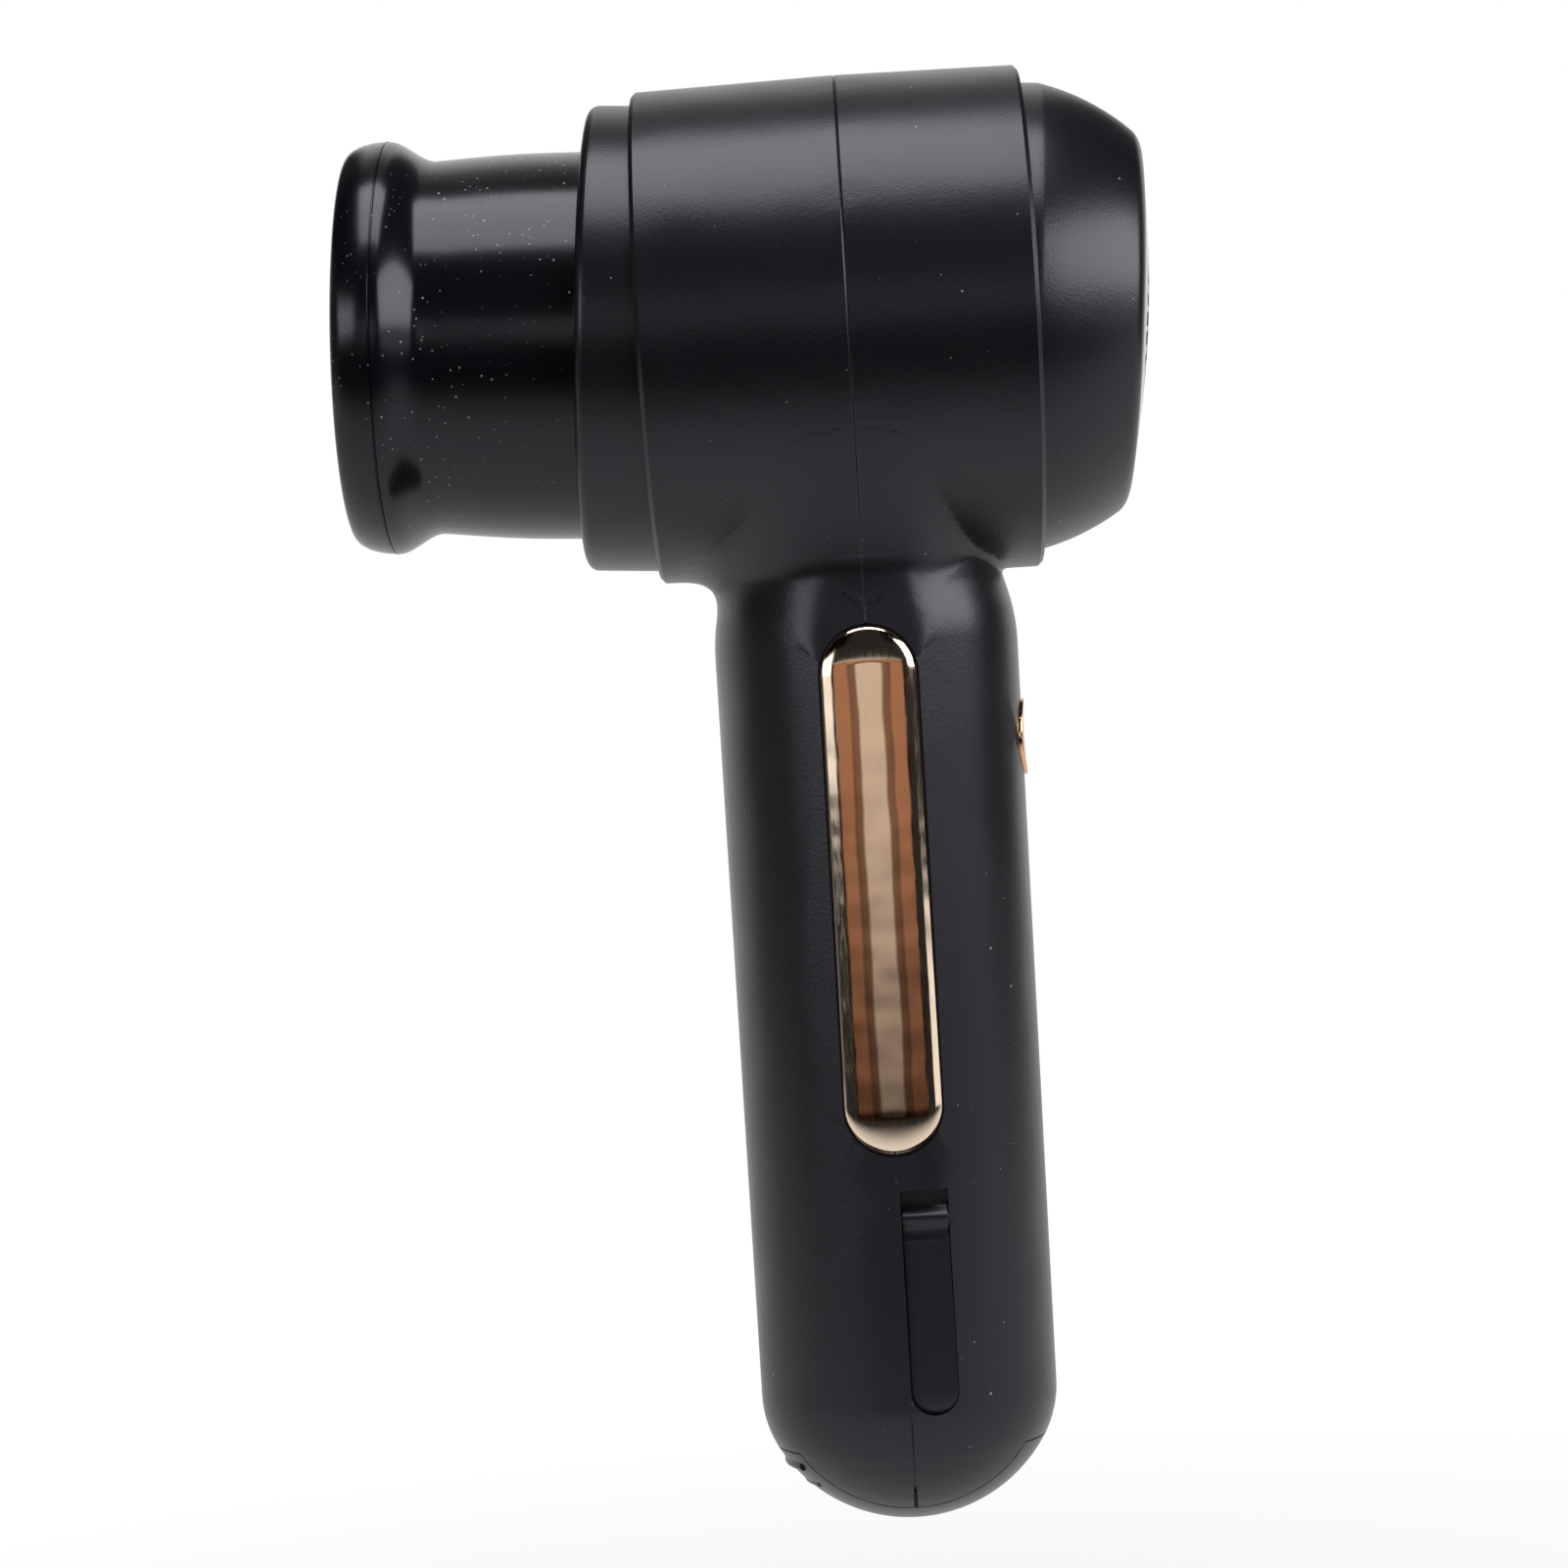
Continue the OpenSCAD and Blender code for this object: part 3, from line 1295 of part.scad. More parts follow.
module shaft_clip() color(steel) {
    on_barrel(shaft_front_x + 0.45) difference() {
        cylinder(r = 2.7, h = clip_t);
        translate([0, 0, -1]) cylinder(r = shaft_r - 0.28, h = clip_t + 2);
        translate([0, -0.8, -1]) cube([5, 1.6, clip_t + 2]);
    }
}

front_shell();
rear_shell();
front_collar();
rear_dome();
intake_grille();
nozzle();
outlet_duct();
trim_plate_left();
trim_plate_right();
side_screws();
power_button();
switch_plunger();
tact_switch();
button_board();
port_cover();
port_cover_root();
usb_c_socket();
charge_board();
bottom_cap();
bridge_contact();
battery_sleeve();
battery_cell_front();
battery_cell_rear();
cell_contacts();
control_board();
board_components();
filter_capacitor();
fan_duct();
isolator_front();
isolator_rear();
tail_cone();
motor_mount();
motor_screws();
bearing_front();
bearing_rear();
stator_core();
stator_windings();
motor_shaft();
motor_can();
rotor_magnets();
impeller();
impeller_nut();
spinner();
shaft_clip();
motor_leads();
battery_leads();
charge_leads();
button_leads();
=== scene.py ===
# %% [markdown]
# # A cordless blower for drying cars
#
# The real object is two moulded shells, a slanted collar and dome, a rubber nozzle, two bright trim
# plates and a fan inside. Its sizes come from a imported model, so each piece here starts from a number
# in that model and never has to be fitted by eye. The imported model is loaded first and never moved.

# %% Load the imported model
import contextlib
import functools
import json
from math import atan2, cos, degrees, hypot, pi, radians, sin, sqrt, tan

import bmesh
import bpy
from mathutils import Matrix, Vector


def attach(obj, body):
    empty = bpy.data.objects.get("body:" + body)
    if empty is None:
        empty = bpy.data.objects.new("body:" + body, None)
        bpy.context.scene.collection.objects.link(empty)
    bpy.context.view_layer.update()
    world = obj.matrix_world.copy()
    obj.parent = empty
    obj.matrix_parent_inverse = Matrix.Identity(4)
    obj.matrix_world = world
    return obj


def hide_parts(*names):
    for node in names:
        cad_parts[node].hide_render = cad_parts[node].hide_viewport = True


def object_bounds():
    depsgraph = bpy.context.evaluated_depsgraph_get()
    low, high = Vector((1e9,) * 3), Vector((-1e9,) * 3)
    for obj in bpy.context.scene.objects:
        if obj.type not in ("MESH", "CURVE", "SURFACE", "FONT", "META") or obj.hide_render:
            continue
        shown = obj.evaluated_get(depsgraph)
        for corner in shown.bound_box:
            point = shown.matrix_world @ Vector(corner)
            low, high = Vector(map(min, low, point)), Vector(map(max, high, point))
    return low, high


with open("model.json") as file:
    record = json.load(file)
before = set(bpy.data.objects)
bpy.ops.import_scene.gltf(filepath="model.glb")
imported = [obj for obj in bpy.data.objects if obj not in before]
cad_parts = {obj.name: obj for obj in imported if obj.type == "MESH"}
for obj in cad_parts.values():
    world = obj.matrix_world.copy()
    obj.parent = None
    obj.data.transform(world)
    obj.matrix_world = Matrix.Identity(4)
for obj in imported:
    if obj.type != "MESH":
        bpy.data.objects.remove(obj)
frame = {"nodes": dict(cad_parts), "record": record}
cad_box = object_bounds()
print("box in mm:", [tuple(round(c * 1000, 1) for c in corner) for corner in cad_box])

# %% [markdown]
# ## Camera
# A long lens from a little over half a metre keeps the barrel's circles nearly straight, as in a
# catalogue picture. The blower hangs turned a few degrees, which the camera's roll gives, so that the
# object itself can stay upright in its frame.

# %% Camera
MM = 0.001
CAMERA_TURN = (1.106, 0.964, 3.298)
CAMERA_PLACE_MM = (-2.21, -558.53, 20.28)


def turn_matrix(yaw, pitch, roll):
    """Turn about Z, then X, then Y, in degrees."""
    return (Matrix.Rotation(radians(yaw), 3, "Z")
            @ Matrix.Rotation(radians(pitch), 3, "X")
            @ Matrix.Rotation(radians(roll), 3, "Y"))


scene = bpy.context.scene
lens = bpy.data.cameras.new("catalogue_lens")
lens.sensor_width = 36
lens.lens = 88.82
lens.clip_start = 0.01
camera = bpy.data.objects.new("catalogue_camera", lens)
scene.collection.objects.link(camera)
right, forward, up = turn_matrix(*CAMERA_TURN).col
look = Matrix((right, up, -forward)).transposed().to_4x4()
camera.matrix_world = Matrix.Translation(Vector(CAMERA_PLACE_MM) * MM) @ look
scene.camera = camera
print("camera at", tuple(round(c, 3) for c in camera.location), "lens", lens.lens)

# %% [markdown]
# ## One helper for every node
# Materials and Geometry Nodes trees are both made of nodes, sockets and links. One small function adds
# a node, sets it up and links it, and the colours are written as the familiar hex codes, which one
# function turns into the linear values that shaders count in.

# %% Helpers for nodes and colours
def add(tree, kind, sockets=None, **settings):
    """Adds a node. sockets maps an input's name or number to a value or to the output to link."""
    node = tree.nodes.new(kind)
    for name, value in settings.items():
        setattr(node, name, value)
    for key, value in (sockets or {}).items():
        if isinstance(value, bpy.types.NodeSocket):
            tree.links.new(value, node.inputs[key])
        else:
            node.inputs[key].default_value = value
    return node


def colour(code):
    """'#rrggbb' as linear red, green, blue and alpha."""
    parts = [int(code[i:i + 2], 16) / 255 for i in (1, 3, 5)]
    return (*[c / 12.92 if c <= 0.04045 else ((c + 0.055) / 1.055) ** 2.4 for c in parts], 1)


def scale_for(size_mm):
    """Texture scale that gives features of this size, on coordinates in metres."""
    return 1 / (size_mm * MM)


def maths(tree, operation, *values):
    """One step of arithmetic on numbers or outputs."""
    return add(tree, "ShaderNodeMath", dict(enumerate(values)), operation=operation).outputs[0]


def fade(tree, value, start, end, low, high, curve="LINEAR"):
    """A level that runs from low to high while a value runs from start to end."""
    return add(tree, "ShaderNodeMapRange", {"Value": value, "From Min": start, "From Max": end, "To Min": low,
                                            "To Max": high}, interpolation_type=curve).outputs[0]


def noise(tree, place, size_mm, detail=2.0):
    """Soft random patches of about this size."""
    return add(tree, "ShaderNodeTexNoise", {"Vector": place, "Scale": scale_for(size_mm), "Detail": detail}).outputs[0]


def vector(tree, *parts):
    """A vector from up to three numbers or outputs."""
    return add(tree, "ShaderNodeCombineXYZ", dict(enumerate(parts))).outputs[0]


def mixed(tree, amount, first, second):
    """Two colours mixed by an amount."""
    return add(tree, "ShaderNodeMix", {0: amount, 6: first, 7: second}, data_type="RGBA").outputs[2]


# %% [markdown]
# ## Floor, white surroundings and soft lamps
# Glossy black is seen by what it mirrors. A product studio has a white sweep behind and below the
# object, a big softbox overhead and a dark room behind the camera, and it is that dark room which keeps
# the front of the barrel black. The world is painted by direction to stand for the room: the sweep with
# a dark gap overhead, where the lamp's frame hangs, a grey card in front, a dim wall at the left, and
# one narrow strip on either side, which the bright trim mirrors as its cream edges. Two area lamps are
# the softboxes.

# %% World: white sweep behind, dark room in front
world = bpy.data.worlds.new("studio")
scene.world = world
world.use_nodes = True
room = world.node_tree
room.nodes.clear()
direction = add(room, "ShaderNodeSeparateXYZ", {0: add(room, "ShaderNodeTexCoord").outputs["Generated"]}).outputs
sky_x, sky_y, sky_z = direction["X"], direction["Y"], direction["Z"]
sideways = maths(room, "ABSOLUTE", sky_x)


def ramp(value, start, end, low=0.0, high=1.0):
    """A smooth fade over a range of directions."""
    return fade(room, value, start, end, low, high, "SMOOTHSTEP")


def panel(*edges):
    """A bright panel: the product of ramps that fade it out at its edges."""
    return functools.reduce(lambda shade, edge: maths(room, "MULTIPLY", shade, edge), edges)


in_front = ramp(sky_y, -0.1, 0.1, 1.0, 0.0)
overhead_gap = maths(room, "MAXIMUM", panel(ramp(sky_z, 0.28, 0.45), ramp(sideways, 0.12, 0.30)),
                     ramp(sky_z, 0.62, 0.88, 0.0, 0.6))
behind = maths(room, "SUBTRACT", sky_y, ramp(sky_x, 0.2, 0.8, 0.0, 0.35))
sweep = panel(ramp(behind, 0.10, 0.65, 0.02, 0.95), ramp(overhead_gap, 0.0, 1.0, 1.0, 0.05))
card = panel(ramp(sky_z, -0.09, 0.04, 0.14, 0.68), ramp(sideways, 0.155, 0.17, 1.0, 0.72),
             ramp(sideways, 0.35, 0.37, 1.0, 0.0), ramp(sky_z, 0.16, 0.19, 1.0, 0.0), ramp(sky_z, -0.13, -0.10),
             in_front)
left_wall = ramp(sky_x, -0.95, -0.80, 0.16, 0.0)
left_strip = panel(ramp(sky_x, -0.90, -0.80), ramp(sky_x, -0.45, -0.40, 1.0, 0.0), ramp(sky_z, 0.002, 0.018),
                   ramp(sky_z, 0.05, 0.10, 1.0, 3.0), ramp(sky_z, 0.25, 0.40, 1.0, 0.0), in_front)
right_strip = panel(ramp(sky_x, 0.58, 0.66), ramp(sky_z, -0.022, -0.008, 1.0, 0.0), ramp(sky_z, -0.13, -0.10),
                    in_front)
level = sweep
for surface in (card, left_wall, left_strip, right_strip):
    level = maths(room, "MAXIMUM", level, surface)
seen = add(room, "ShaderNodeLightPath").outputs["Is Camera Ray"]
strength = add(room, "ShaderNodeMix", {0: seen, 2: level, 3: 1.0}).outputs[0]
background = add(room, "ShaderNodeBackground", {"Color": (1, 1, 1, 1), "Strength": strength})
add(room, "ShaderNodeOutputWorld", {"Surface": background.outputs[0]})
print("world painted with", len(room.nodes), "nodes")


# %% Softboxes
def softbox(name, place, aim, size, brightness):
    """A rectangular lamp as bright as this many sheets of white paper in plain light."""
    lamp = bpy.data.lights.new(name, "AREA")
    lamp.shape = "RECTANGLE"
    lamp.size, lamp.size_y = size
    lamp.energy = brightness * pi * size[0] * size[1]
    holder = bpy.data.objects.new(name, lamp)
    scene.collection.objects.link(holder)
    holder.location = place
    holder.rotation_euler = (Vector(aim) - Vector(place)).to_track_quat("-Z", "Y").to_euler()
    print(name, "gives", round(lamp.energy, 2), "W")


softbox("overhead_softbox", (0.0, -0.185, 0.70), (0, -0.02, 0.05), (0.50, 0.48), 4.2)
softbox("side_softbox", (0.62, -0.34, 0.34), (0, 0, 0.10), (0.85, 0.40), 4.6)

# %% Floor
# The pulled cap needs 25 mm below the handle, and 2 mm of air keep it off the paper.
FLOOR_DROP = 27 * MM
floor_mesh = bpy.data.meshes.new("floor")
floor_z = cad_box[0].z - FLOOR_DROP
corners = ((-1.6, -0.45), (1.6, -0.45), (1.6, 2.4), (-1.6, 2.4))
floor_mesh.from_pydata([(x, y, floor_z) for x, y in corners], [], [(0, 1, 2, 3)])
floor = bpy.data.objects.new("floor", floor_mesh)
scene.collection.objects.link(floor)
paper = bpy.data.materials.new("white_paper_sweep")
paper.use_nodes = True
sheet = paper.node_tree
sheet.nodes.clear()
lit = add(sheet, "ShaderNodeBsdfDiffuse", {"Color": (0.62, 0.62, 0.62, 1)})
flat = add(sheet, "ShaderNodeMapping", {"Vector": add(sheet, "ShaderNodeTexCoord").outputs["Object"],
                                        "Scale": (1, 1, 0)}).outputs[0]
away = add(sheet, "ShaderNodeVectorMath", {0: flat}, operation="LENGTH").outputs["Value"]
ray = add(sheet, "ShaderNodeLightPath").outputs
seen = maths(sheet, "MULTIPLY", ray["Is Camera Ray"], fade(sheet, away, 0.02, 0.25, 0.82, 1.0))
share = maths(sheet, "MULTIPLY_ADD", ray["Is Glossy Ray"], 0.8, seen)
whiteness = maths(sheet, "MULTIPLY_ADD", ray["Is Camera Ray"], 0.12, 0.88)
glow = add(sheet, "ShaderNodeEmission", {"Color": (1, 1, 1, 1), "Strength": whiteness})
both = add(sheet, "ShaderNodeMixShader", {0: share, 1: lit.outputs[0], 2: glow.outputs[0]})
nearness = fade(sheet, add(sheet, "ShaderNodeSeparateXYZ", {0: flat}).outputs["Y"], -0.40, -0.08, 1.0, 0.0,
                "SMOOTHSTEP")
faded = add(sheet, "ShaderNodeMixShader", {0: nearness, 1: both.outputs[0],
                                           2: add(sheet, "ShaderNodeBsdfTransparent").outputs[0]})
add(sheet, "ShaderNodeOutputMaterial", {"Surface": faded.outputs[0]})
floor_mesh.materials.append(paper)
scene.view_settings.view_transform = "Standard"
print("floor at", round(floor_z / MM, 1), "mm")

# %% [markdown]
# ## Finishes
# A moulded plastic takes its surface from the steel mould: spark erosion leaves a fine grain, polishing
# leaves gloss. A metal's look is in its reflections and in how the tool left it. So there are two
# starting points, one for moulded pieces and one for metal, and each finish adds what is its own.


# %% Starting points for finishes
def start_finish(name, **values):
    """A material with its tree, its shader set to these values, and the object's own coordinates."""
    material = bpy.data.materials.new(name)
    material.use_nodes = True
    tree = material.node_tree
    shader = tree.nodes["Principled BSDF"]
    for label, value in values.items():
        shader.inputs[label.replace("_", " ")].default_value = value
    return material, tree, shader, add(tree, "ShaderNodeTexCoord").outputs["Object"]


def bump_from(tree, shader, height, depth_mm, below=None):
    """Adds relief to the shader's normal, on top of an earlier relief when one is given."""
    sockets = {"Height": height, "Distance": depth_mm * MM, "Strength": 1.0}
    if below:
        sockets["Normal"] = below
    bump = add(tree, "ShaderNodeBump", sockets)
    tree.links.new(bump.outputs[0], shader.inputs["Normal"])
    return bump.outputs[0]


def vary(tree, shader, socket, value, low, high):
    """Lets a shader's value wander between two levels, following a texture's output."""
    tree.links.new(fade(tree, value, 0.3, 0.7, low, high), shader.inputs[socket])


def dust(tree, shader, place, base, spacing_mm, speck_mm=0.20, fleck="#a9a9ae"):
    """Pale specks of dust in patches: balls of random size at random points, cut by the surface."""
    cells = add(tree, "ShaderNodeTexVoronoi", {"Vector": place, "Scale": scale_for(spacing_mm)}).outputs
    reach = maths(tree, "MULTIPLY", cells["Color"], speck_mm / spacing_mm)
    inside = maths(tree, "LESS_THAN", cells["Distance"], reach)
    patch = fade(tree, noise(tree, place, 14, 1.0), 0.42, 0.6, 0.1, 0.8)
    tint = mixed(tree, maths(tree, "MULTIPLY", inside, patch), base, colour(fleck))
    tree.links.new(tint, shader.inputs["Base Color"])


def moulded(name, code, roughness, grain_mm=0.35, grain_depth_mm=0.01, ior=1.49, dust_mm=None):
    """A moulded plastic or rubber: fine grain, roughness that wanders, and dust where it is handled."""
    material, tree, shader, place = start_finish(name, Base_Color=colour(code), IOR=ior,
                                                 Specular_Tint=colour("#f4f3ff"))
    bump_from(tree, shader, noise(tree, place, grain_mm), grain_depth_mm)
    vary(tree, shader, "Roughness", noise(tree, place, 18, 3.0), roughness * 0.94, roughness * 1.08)
    if dust_mm:
        dust(tree, shader, place, colour(code), dust_mm)
    return material


def metal(name, code, roughness, line_mm=0.4, stretch=(1, 1, 1), depth_mm=0.004):
    """A bare or plated metal, with the fine lines that its tool left along one direction."""
    material, tree, shader, place = start_finish(name, Metallic=1.0)
    stretched = add(tree, "ShaderNodeMapping", {"Vector": place, "Scale": stretch}).outputs[0]
    lines = noise(tree, stretched, line_mm)
    bump_from(tree, shader, lines, depth_mm)
    vary(tree, shader, "Roughness", lines, roughness * 0.8, roughness * 1.25)
    base = colour(code)
    tarnished = tuple(c * 0.86 for c in base[:3]) + (1,)
    tree.links.new(mixed(tree, noise(tree, place, 9), base, tarnished), shader.inputs["Base Color"])
    return material


# %% Moulded finishes
# Shells: spark-eroded and satin, with a grain that glints on the curve. The real grain is about 0.1 mm
# across; it is drawn at 0.45 mm so that it shows. Carbon black in plastic looks a little blue. The
# nozzle is polished silicone, a deep black that dust clings to, and the grille is mirror black.
FINISHES = {
    "soft_black": moulded("spark_eroded_abs", "#101015", 0.30, 0.45, 0.020, ior=1.51, dust_mm=3.0),
    "nozzle_rubber": moulded("gloss_silicone_rubber", "#0d0d12", 0.19, 2.2, 0.006, ior=1.46, dust_mm=1.1),
    "gloss_black": moulded("polished_black_abs", "#08080a", 0.07, 6.0, 0.004, ior=1.5),
    "inner_black": moulded("plain_black_abs", "#19191b", 0.45, 0.8, 0.01),
    "cover_rubber": moulded("matt_tpe_rubber", "#101015", 0.31, 0.5, 0.01, ior=1.48, dust_mm=3.0),
    "duct_plastic": moulded("glass_filled_nylon", "#1d1d1f", 0.5, 0.7, 0.02, ior=1.53),
    "isolator_rubber": moulded("soft_silicone_ring", "#2a2a2c", 0.6, 0.9, 0.01, ior=1.43),
    "sleeve_plastic": moulded("flame_retardant_abs", "#2c2c30", 0.5, 0.8, 0.01),
    "cell_wrap": moulded("heat_shrink_pvc", "#2f7f86", 0.28, 3.0, 0.02, ior=1.53),
    "chip_black": moulded("moulded_epoxy", "#1a1a1c", 0.55, 0.4, 0.006, ior=1.55),
    "switch_black": moulded("switch_key_abs", "#101012", 0.4, 0.5, 0.006),
    "wire_yellow": moulded("yellow_silicone_wire", "#d9a514", 0.42, 0.8, 0.01, ior=1.43),
    "wire_red": moulded("red_silicone_wire", "#b3201c", 0.42, 0.8, 0.01, ior=1.43),
}
print("moulded finishes made")

# %% Metal finishes
FINISHES |= {
    "impeller_aluminium": metal("machined_aluminium", "#d5d7da", 0.28, 0.3, (1, 6, 6)),
    "mount_aluminium": metal("clear_anodised_aluminium", "#c3c6ca", 0.34, 0.5),
    "can_steel": metal("nickel_plated_steel", "#bfc0c2", 0.2, 0.6, (1, 5, 5)),
    "screw_steel": metal("zinc_plated_steel", "#c4c6c9", 0.3, 0.5),
    "bearing_steel": metal("bearing_steel", "#cfd1d4", 0.16, 0.4, (6, 1, 1)),
    "core_steel": metal("laminated_silicon_steel", "#8f9399", 0.42, 0.5, (10, 1, 1), 0.02),
    "nickel": metal("nickel_strip", "#c9c6bd", 0.26, 0.5, (1, 8, 1)),
    "winding_copper": metal("enamelled_copper", "#c4703a", 0.24, 0.35, (6, 1, 1), 0.03),
    "magnet": metal("nickel_plated_neodymium", "#a9abae", 0.22, 0.8),
    "capacitor_can": metal("sleeved_aluminium", "#26324a", 0.35, 0.8),
    "switch_metal": metal("tinned_steel_lid", "#c2c4c6", 0.3, 0.4, (1, 4, 1)),
}
FINISHES["socket_steel"] = FINISHES["can_steel"]
print("metal finishes made")


# %% [markdown]
# ### Rose gold trim
# Such trim is ABS with a thin film of metal laid on in a vacuum, under tinted lacquer. The film copies
# the moulding's faint waves, so straight reflections come out a little crooked, and the soft lacquer
# takes hairline scratches. A low, broad relief makes the waves and a stretched one the hairlines. On the
# plates a painted reflection is added to the colour: bands by the distance from the plate's middle line,
# pale in the middle, then dark brown, then red, then a pale rim, stand in for the stripes the crown mirrors.

# %% Rose gold finish
# Distances in mm where the plates' painted reflection turns from pale to brown, to red, and to the pale rim.
REFLECTION_BAND_MM = (1.9, 3.3, 5.2)
WIDEST_MM = 8


def painted_reflection_bands(tree, place, band_edges, middle_mm=13.85, straight_mm=31.4):
    """Painted reflection: colour by the distance from a plate's middle line, pale, then brown, then red, then the pale
    rim.
    """
    spot = add(tree, "ShaderNodeSeparateXYZ", {0: place}).outputs
    across = maths(tree, "ABSOLUTE", spot["X"])
    across = maths(tree, "MULTIPLY_ADD", noise(tree, place, 9), 0.7 * MM, across)
    along = maths(tree, "ABSOLUTE", maths(tree, "SUBTRACT", spot["Z"], middle_mm * MM))
    past_end = fade(tree, along, straight_mm * MM, (straight_mm + 1) * MM, 0.0, WIDEST_MM * MM)
    distance = add(tree, "ShaderNodeVectorMath", {0: vector(tree, across, past_end)}, operation="LENGTH")
    run = add(tree, "ShaderNodeValToRGB", {0: maths(tree, "DIVIDE", distance.outputs["Value"], WIDEST_MM * MM)})
    brown, red, rim = band_edges
    stops = ((0.0, "#efcbaa"), (brown, "#efcbaa"), (brown + 0.4, "#94684d"), (red - 0.2, "#94684d"),
             (red + 0.2, "#dd9468"), (rim, "#dd9468"), (rim + 0.3, "#f6dfc6"))
    for (stop_mm, code), stop in zip(stops, [*run.color_ramp.elements] + [None] * 5):
        stop = stop or run.color_ramp.elements.new(1.0)
        stop.position = stop_mm / WIDEST_MM
        stop.color = colour(code)
    return run.outputs[0]


def rose_gold_film(name, band_edges=None):
    """Metallised plastic under tinted lacquer, with a painted reflection in bands when band edges are given."""
    material, tree, shader, place = start_finish(name, Metallic=1.0, Base_Color=colour("#ecb58c"))
    if band_edges:
        tree.links.new(painted_reflection_bands(tree, place, band_edges), shader.inputs["Base Color"])
    waves = bump_from(tree, shader, noise(tree, place, 7, 1.0), 0.08)
    combed = add(tree, "ShaderNodeMapping", {"Vector": place, "Scale": (1.0, 1.0, 0.12), "Rotation": (0, 0.5, 0)})
    hairlines = noise(tree, combed.outputs[0], 0.25, 3.0)
    bump_from(tree, shader, hairlines, 0.002, below=waves)
    vary(tree, shader, "Roughness", hairlines, 0.05, 0.12)
    return material


FINISHES["rose_gold"] = rose_gold_film("vacuum_metallised_rose_gold")
# The plates' film has the painted reflection bands in its colour.
plate_gold_painted_reflections = rose_gold_film("vacuum_metallised_plate", REFLECTION_BAND_MM)
print("rose gold films made")


# %% [markdown]
# ### Circuit boards
# A board is glass fibre and epoxy under green solder mask. The copper under the mask shows as a
# slightly lighter green where the tracks run, so a brick pattern at the tracks' real spacing of about
# 1.3 mm tints the colour.

# %% Solder mask finish
def solder_mask():
    """Green mask over a brick pattern of tracks."""
    material, tree, shader, place = start_finish("green_solder_mask", Roughness=0.3)
    upright = add(tree, "ShaderNodeMapping", {"Vector": place, "Rotation": (pi / 2, 0, 0)})
    tracks = add(tree, "ShaderNodeTexBrick", {
        "Vector": upright.outputs[0], "Color1": colour("#1c5a3c"), "Color2": colour("#226a48"),
        "Mortar": colour("#123f2a"), "Scale": scale_for(5.0), "Mortar Size": 0.04})
    tree.links.new(tracks.outputs["Color"], shader.inputs["Base Color"])
    bump_from(tree, shader, tracks.outputs["Fac"], 0.03)
    return material


FINISHES["board_green"] = solder_mask()

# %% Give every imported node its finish
slot_of = {part["node"]: part["material_slot"] for part in frame["record"]["subparts"]}
body_of_node = {name: body for body, names in frame["record"]["behaviour"]["bodies"].items() for name in names}
for name, node in frame["nodes"].items():
    node.data.materials.clear()
    node.data.materials.append(FINISHES[slot_of[name]])
print("finishes given to", len(frame["nodes"]), "nodes")

# %% [markdown]
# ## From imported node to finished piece
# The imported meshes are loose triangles. Where the shape is right, a piece starts as a copy whose
# triangles are joined, so that curved faces shade smoothly and edges can be rounded. A helper turns any
# mesh into a piece that stands for its node and moves with the right body.


# %% Helpers for pieces
@contextlib.contextmanager
def reshaped(mesh):
    """Opens a mesh for editing, then writes the result back to it."""
    shape = bmesh.new()
    shape.from_mesh(mesh)
    yield shape
    shape.to_mesh(mesh)
    shape.free()


def solid(name, points, faces, place=None, merge=False):
    """A mesh from points and faces, put in place, with every face turned outwards."""
    mesh = bpy.data.meshes.new(name)
    mesh.from_pydata(points, [], faces)
    if place:
        mesh.transform(place)
    with reshaped(mesh) as shape:
        if merge:
            bmesh.ops.remove_doubles(shape, verts=shape.verts, dist=1e-7)
        bmesh.ops.recalc_face_normals(shape, faces=shape.faces)
    return mesh


def skin(rows, n):
    """Faces of a closed skin over rows of n points each, with both ends filled."""
    sides = [(i * n + k, i * n + (k + 1) % n, (i + 1) * n + (k + 1) % n, (i + 1) * n + k)
             for i in range(rows - 1) for k in range(n)]
    return sides + [tuple(range(n)), tuple(range((rows - 1) * n, rows * n))]


def joined_copy(node):
    """The node's shape as one joined mesh, still in place."""
    source = frame["nodes"][node].data
    mesh = bpy.data.meshes.new(node + "_piece")
    mesh.from_pydata([tuple(v.co) for v in source.vertices], [], [tuple(p.vertices) for p in source.polygons])
    with reshaped(mesh) as shape:
        bmesh.ops.remove_doubles(shape, verts=shape.verts, dist=0.002 * MM)
        bmesh.ops.dissolve_degenerate(shape, edges=shape.edges, dist=0.001 * MM)
    return mesh


def piece_from(mesh, node, smooth_deg=32, finish=None):
    """Puts a mesh in the scene as the piece that stands for a node."""
    mesh.shade_smooth()
    mesh.set_sharp_from_angle(angle=radians(smooth_deg))
    mesh.materials.clear()
    mesh.materials.append(finish or FINISHES[slot_of[node]])
    piece = bpy.data.objects.new(mesh.name, mesh)
    scene.collection.objects.link(piece)
    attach(piece, body_of_node[node])
    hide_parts(node)
    print(f"{piece.name}: {len(mesh.polygons)} faces")
    return piece


def soften(piece, width_mm, least_deg, segments):
    """Rounds the sharp edges of a piece by a small radius."""
    bevel = piece.modifiers.new("edge_radius", "BEVEL")
    bevel.width = width_mm * MM
    bevel.segments = segments
    bevel.limit_method = "ANGLE"
    bevel.angle_limit = radians(least_deg)
    bevel.use_clamp_overlap = False
    bevel.harden_normals = False
    piece.modifiers.new("even_shading", "WEIGHTED_NORMAL").keep_sharp = True


# %% [markdown]
# ## The soft neck
# The handle flows into the barrel with no edge: the mould maker runs a large fillet along the line where
# the two meet, and fades the flat sides out into the round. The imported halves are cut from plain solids,
# so that line is sharp there. Each solid can be written as a distance, and a smooth minimum of distances
# is a surface with the fillet in it. The mesh is made fine near the line, and its points are then moved
# onto that surface. Where the two solids are nearly parallel they need no fillet, so its width follows the
# angle between them; behind, the real fillet is small.

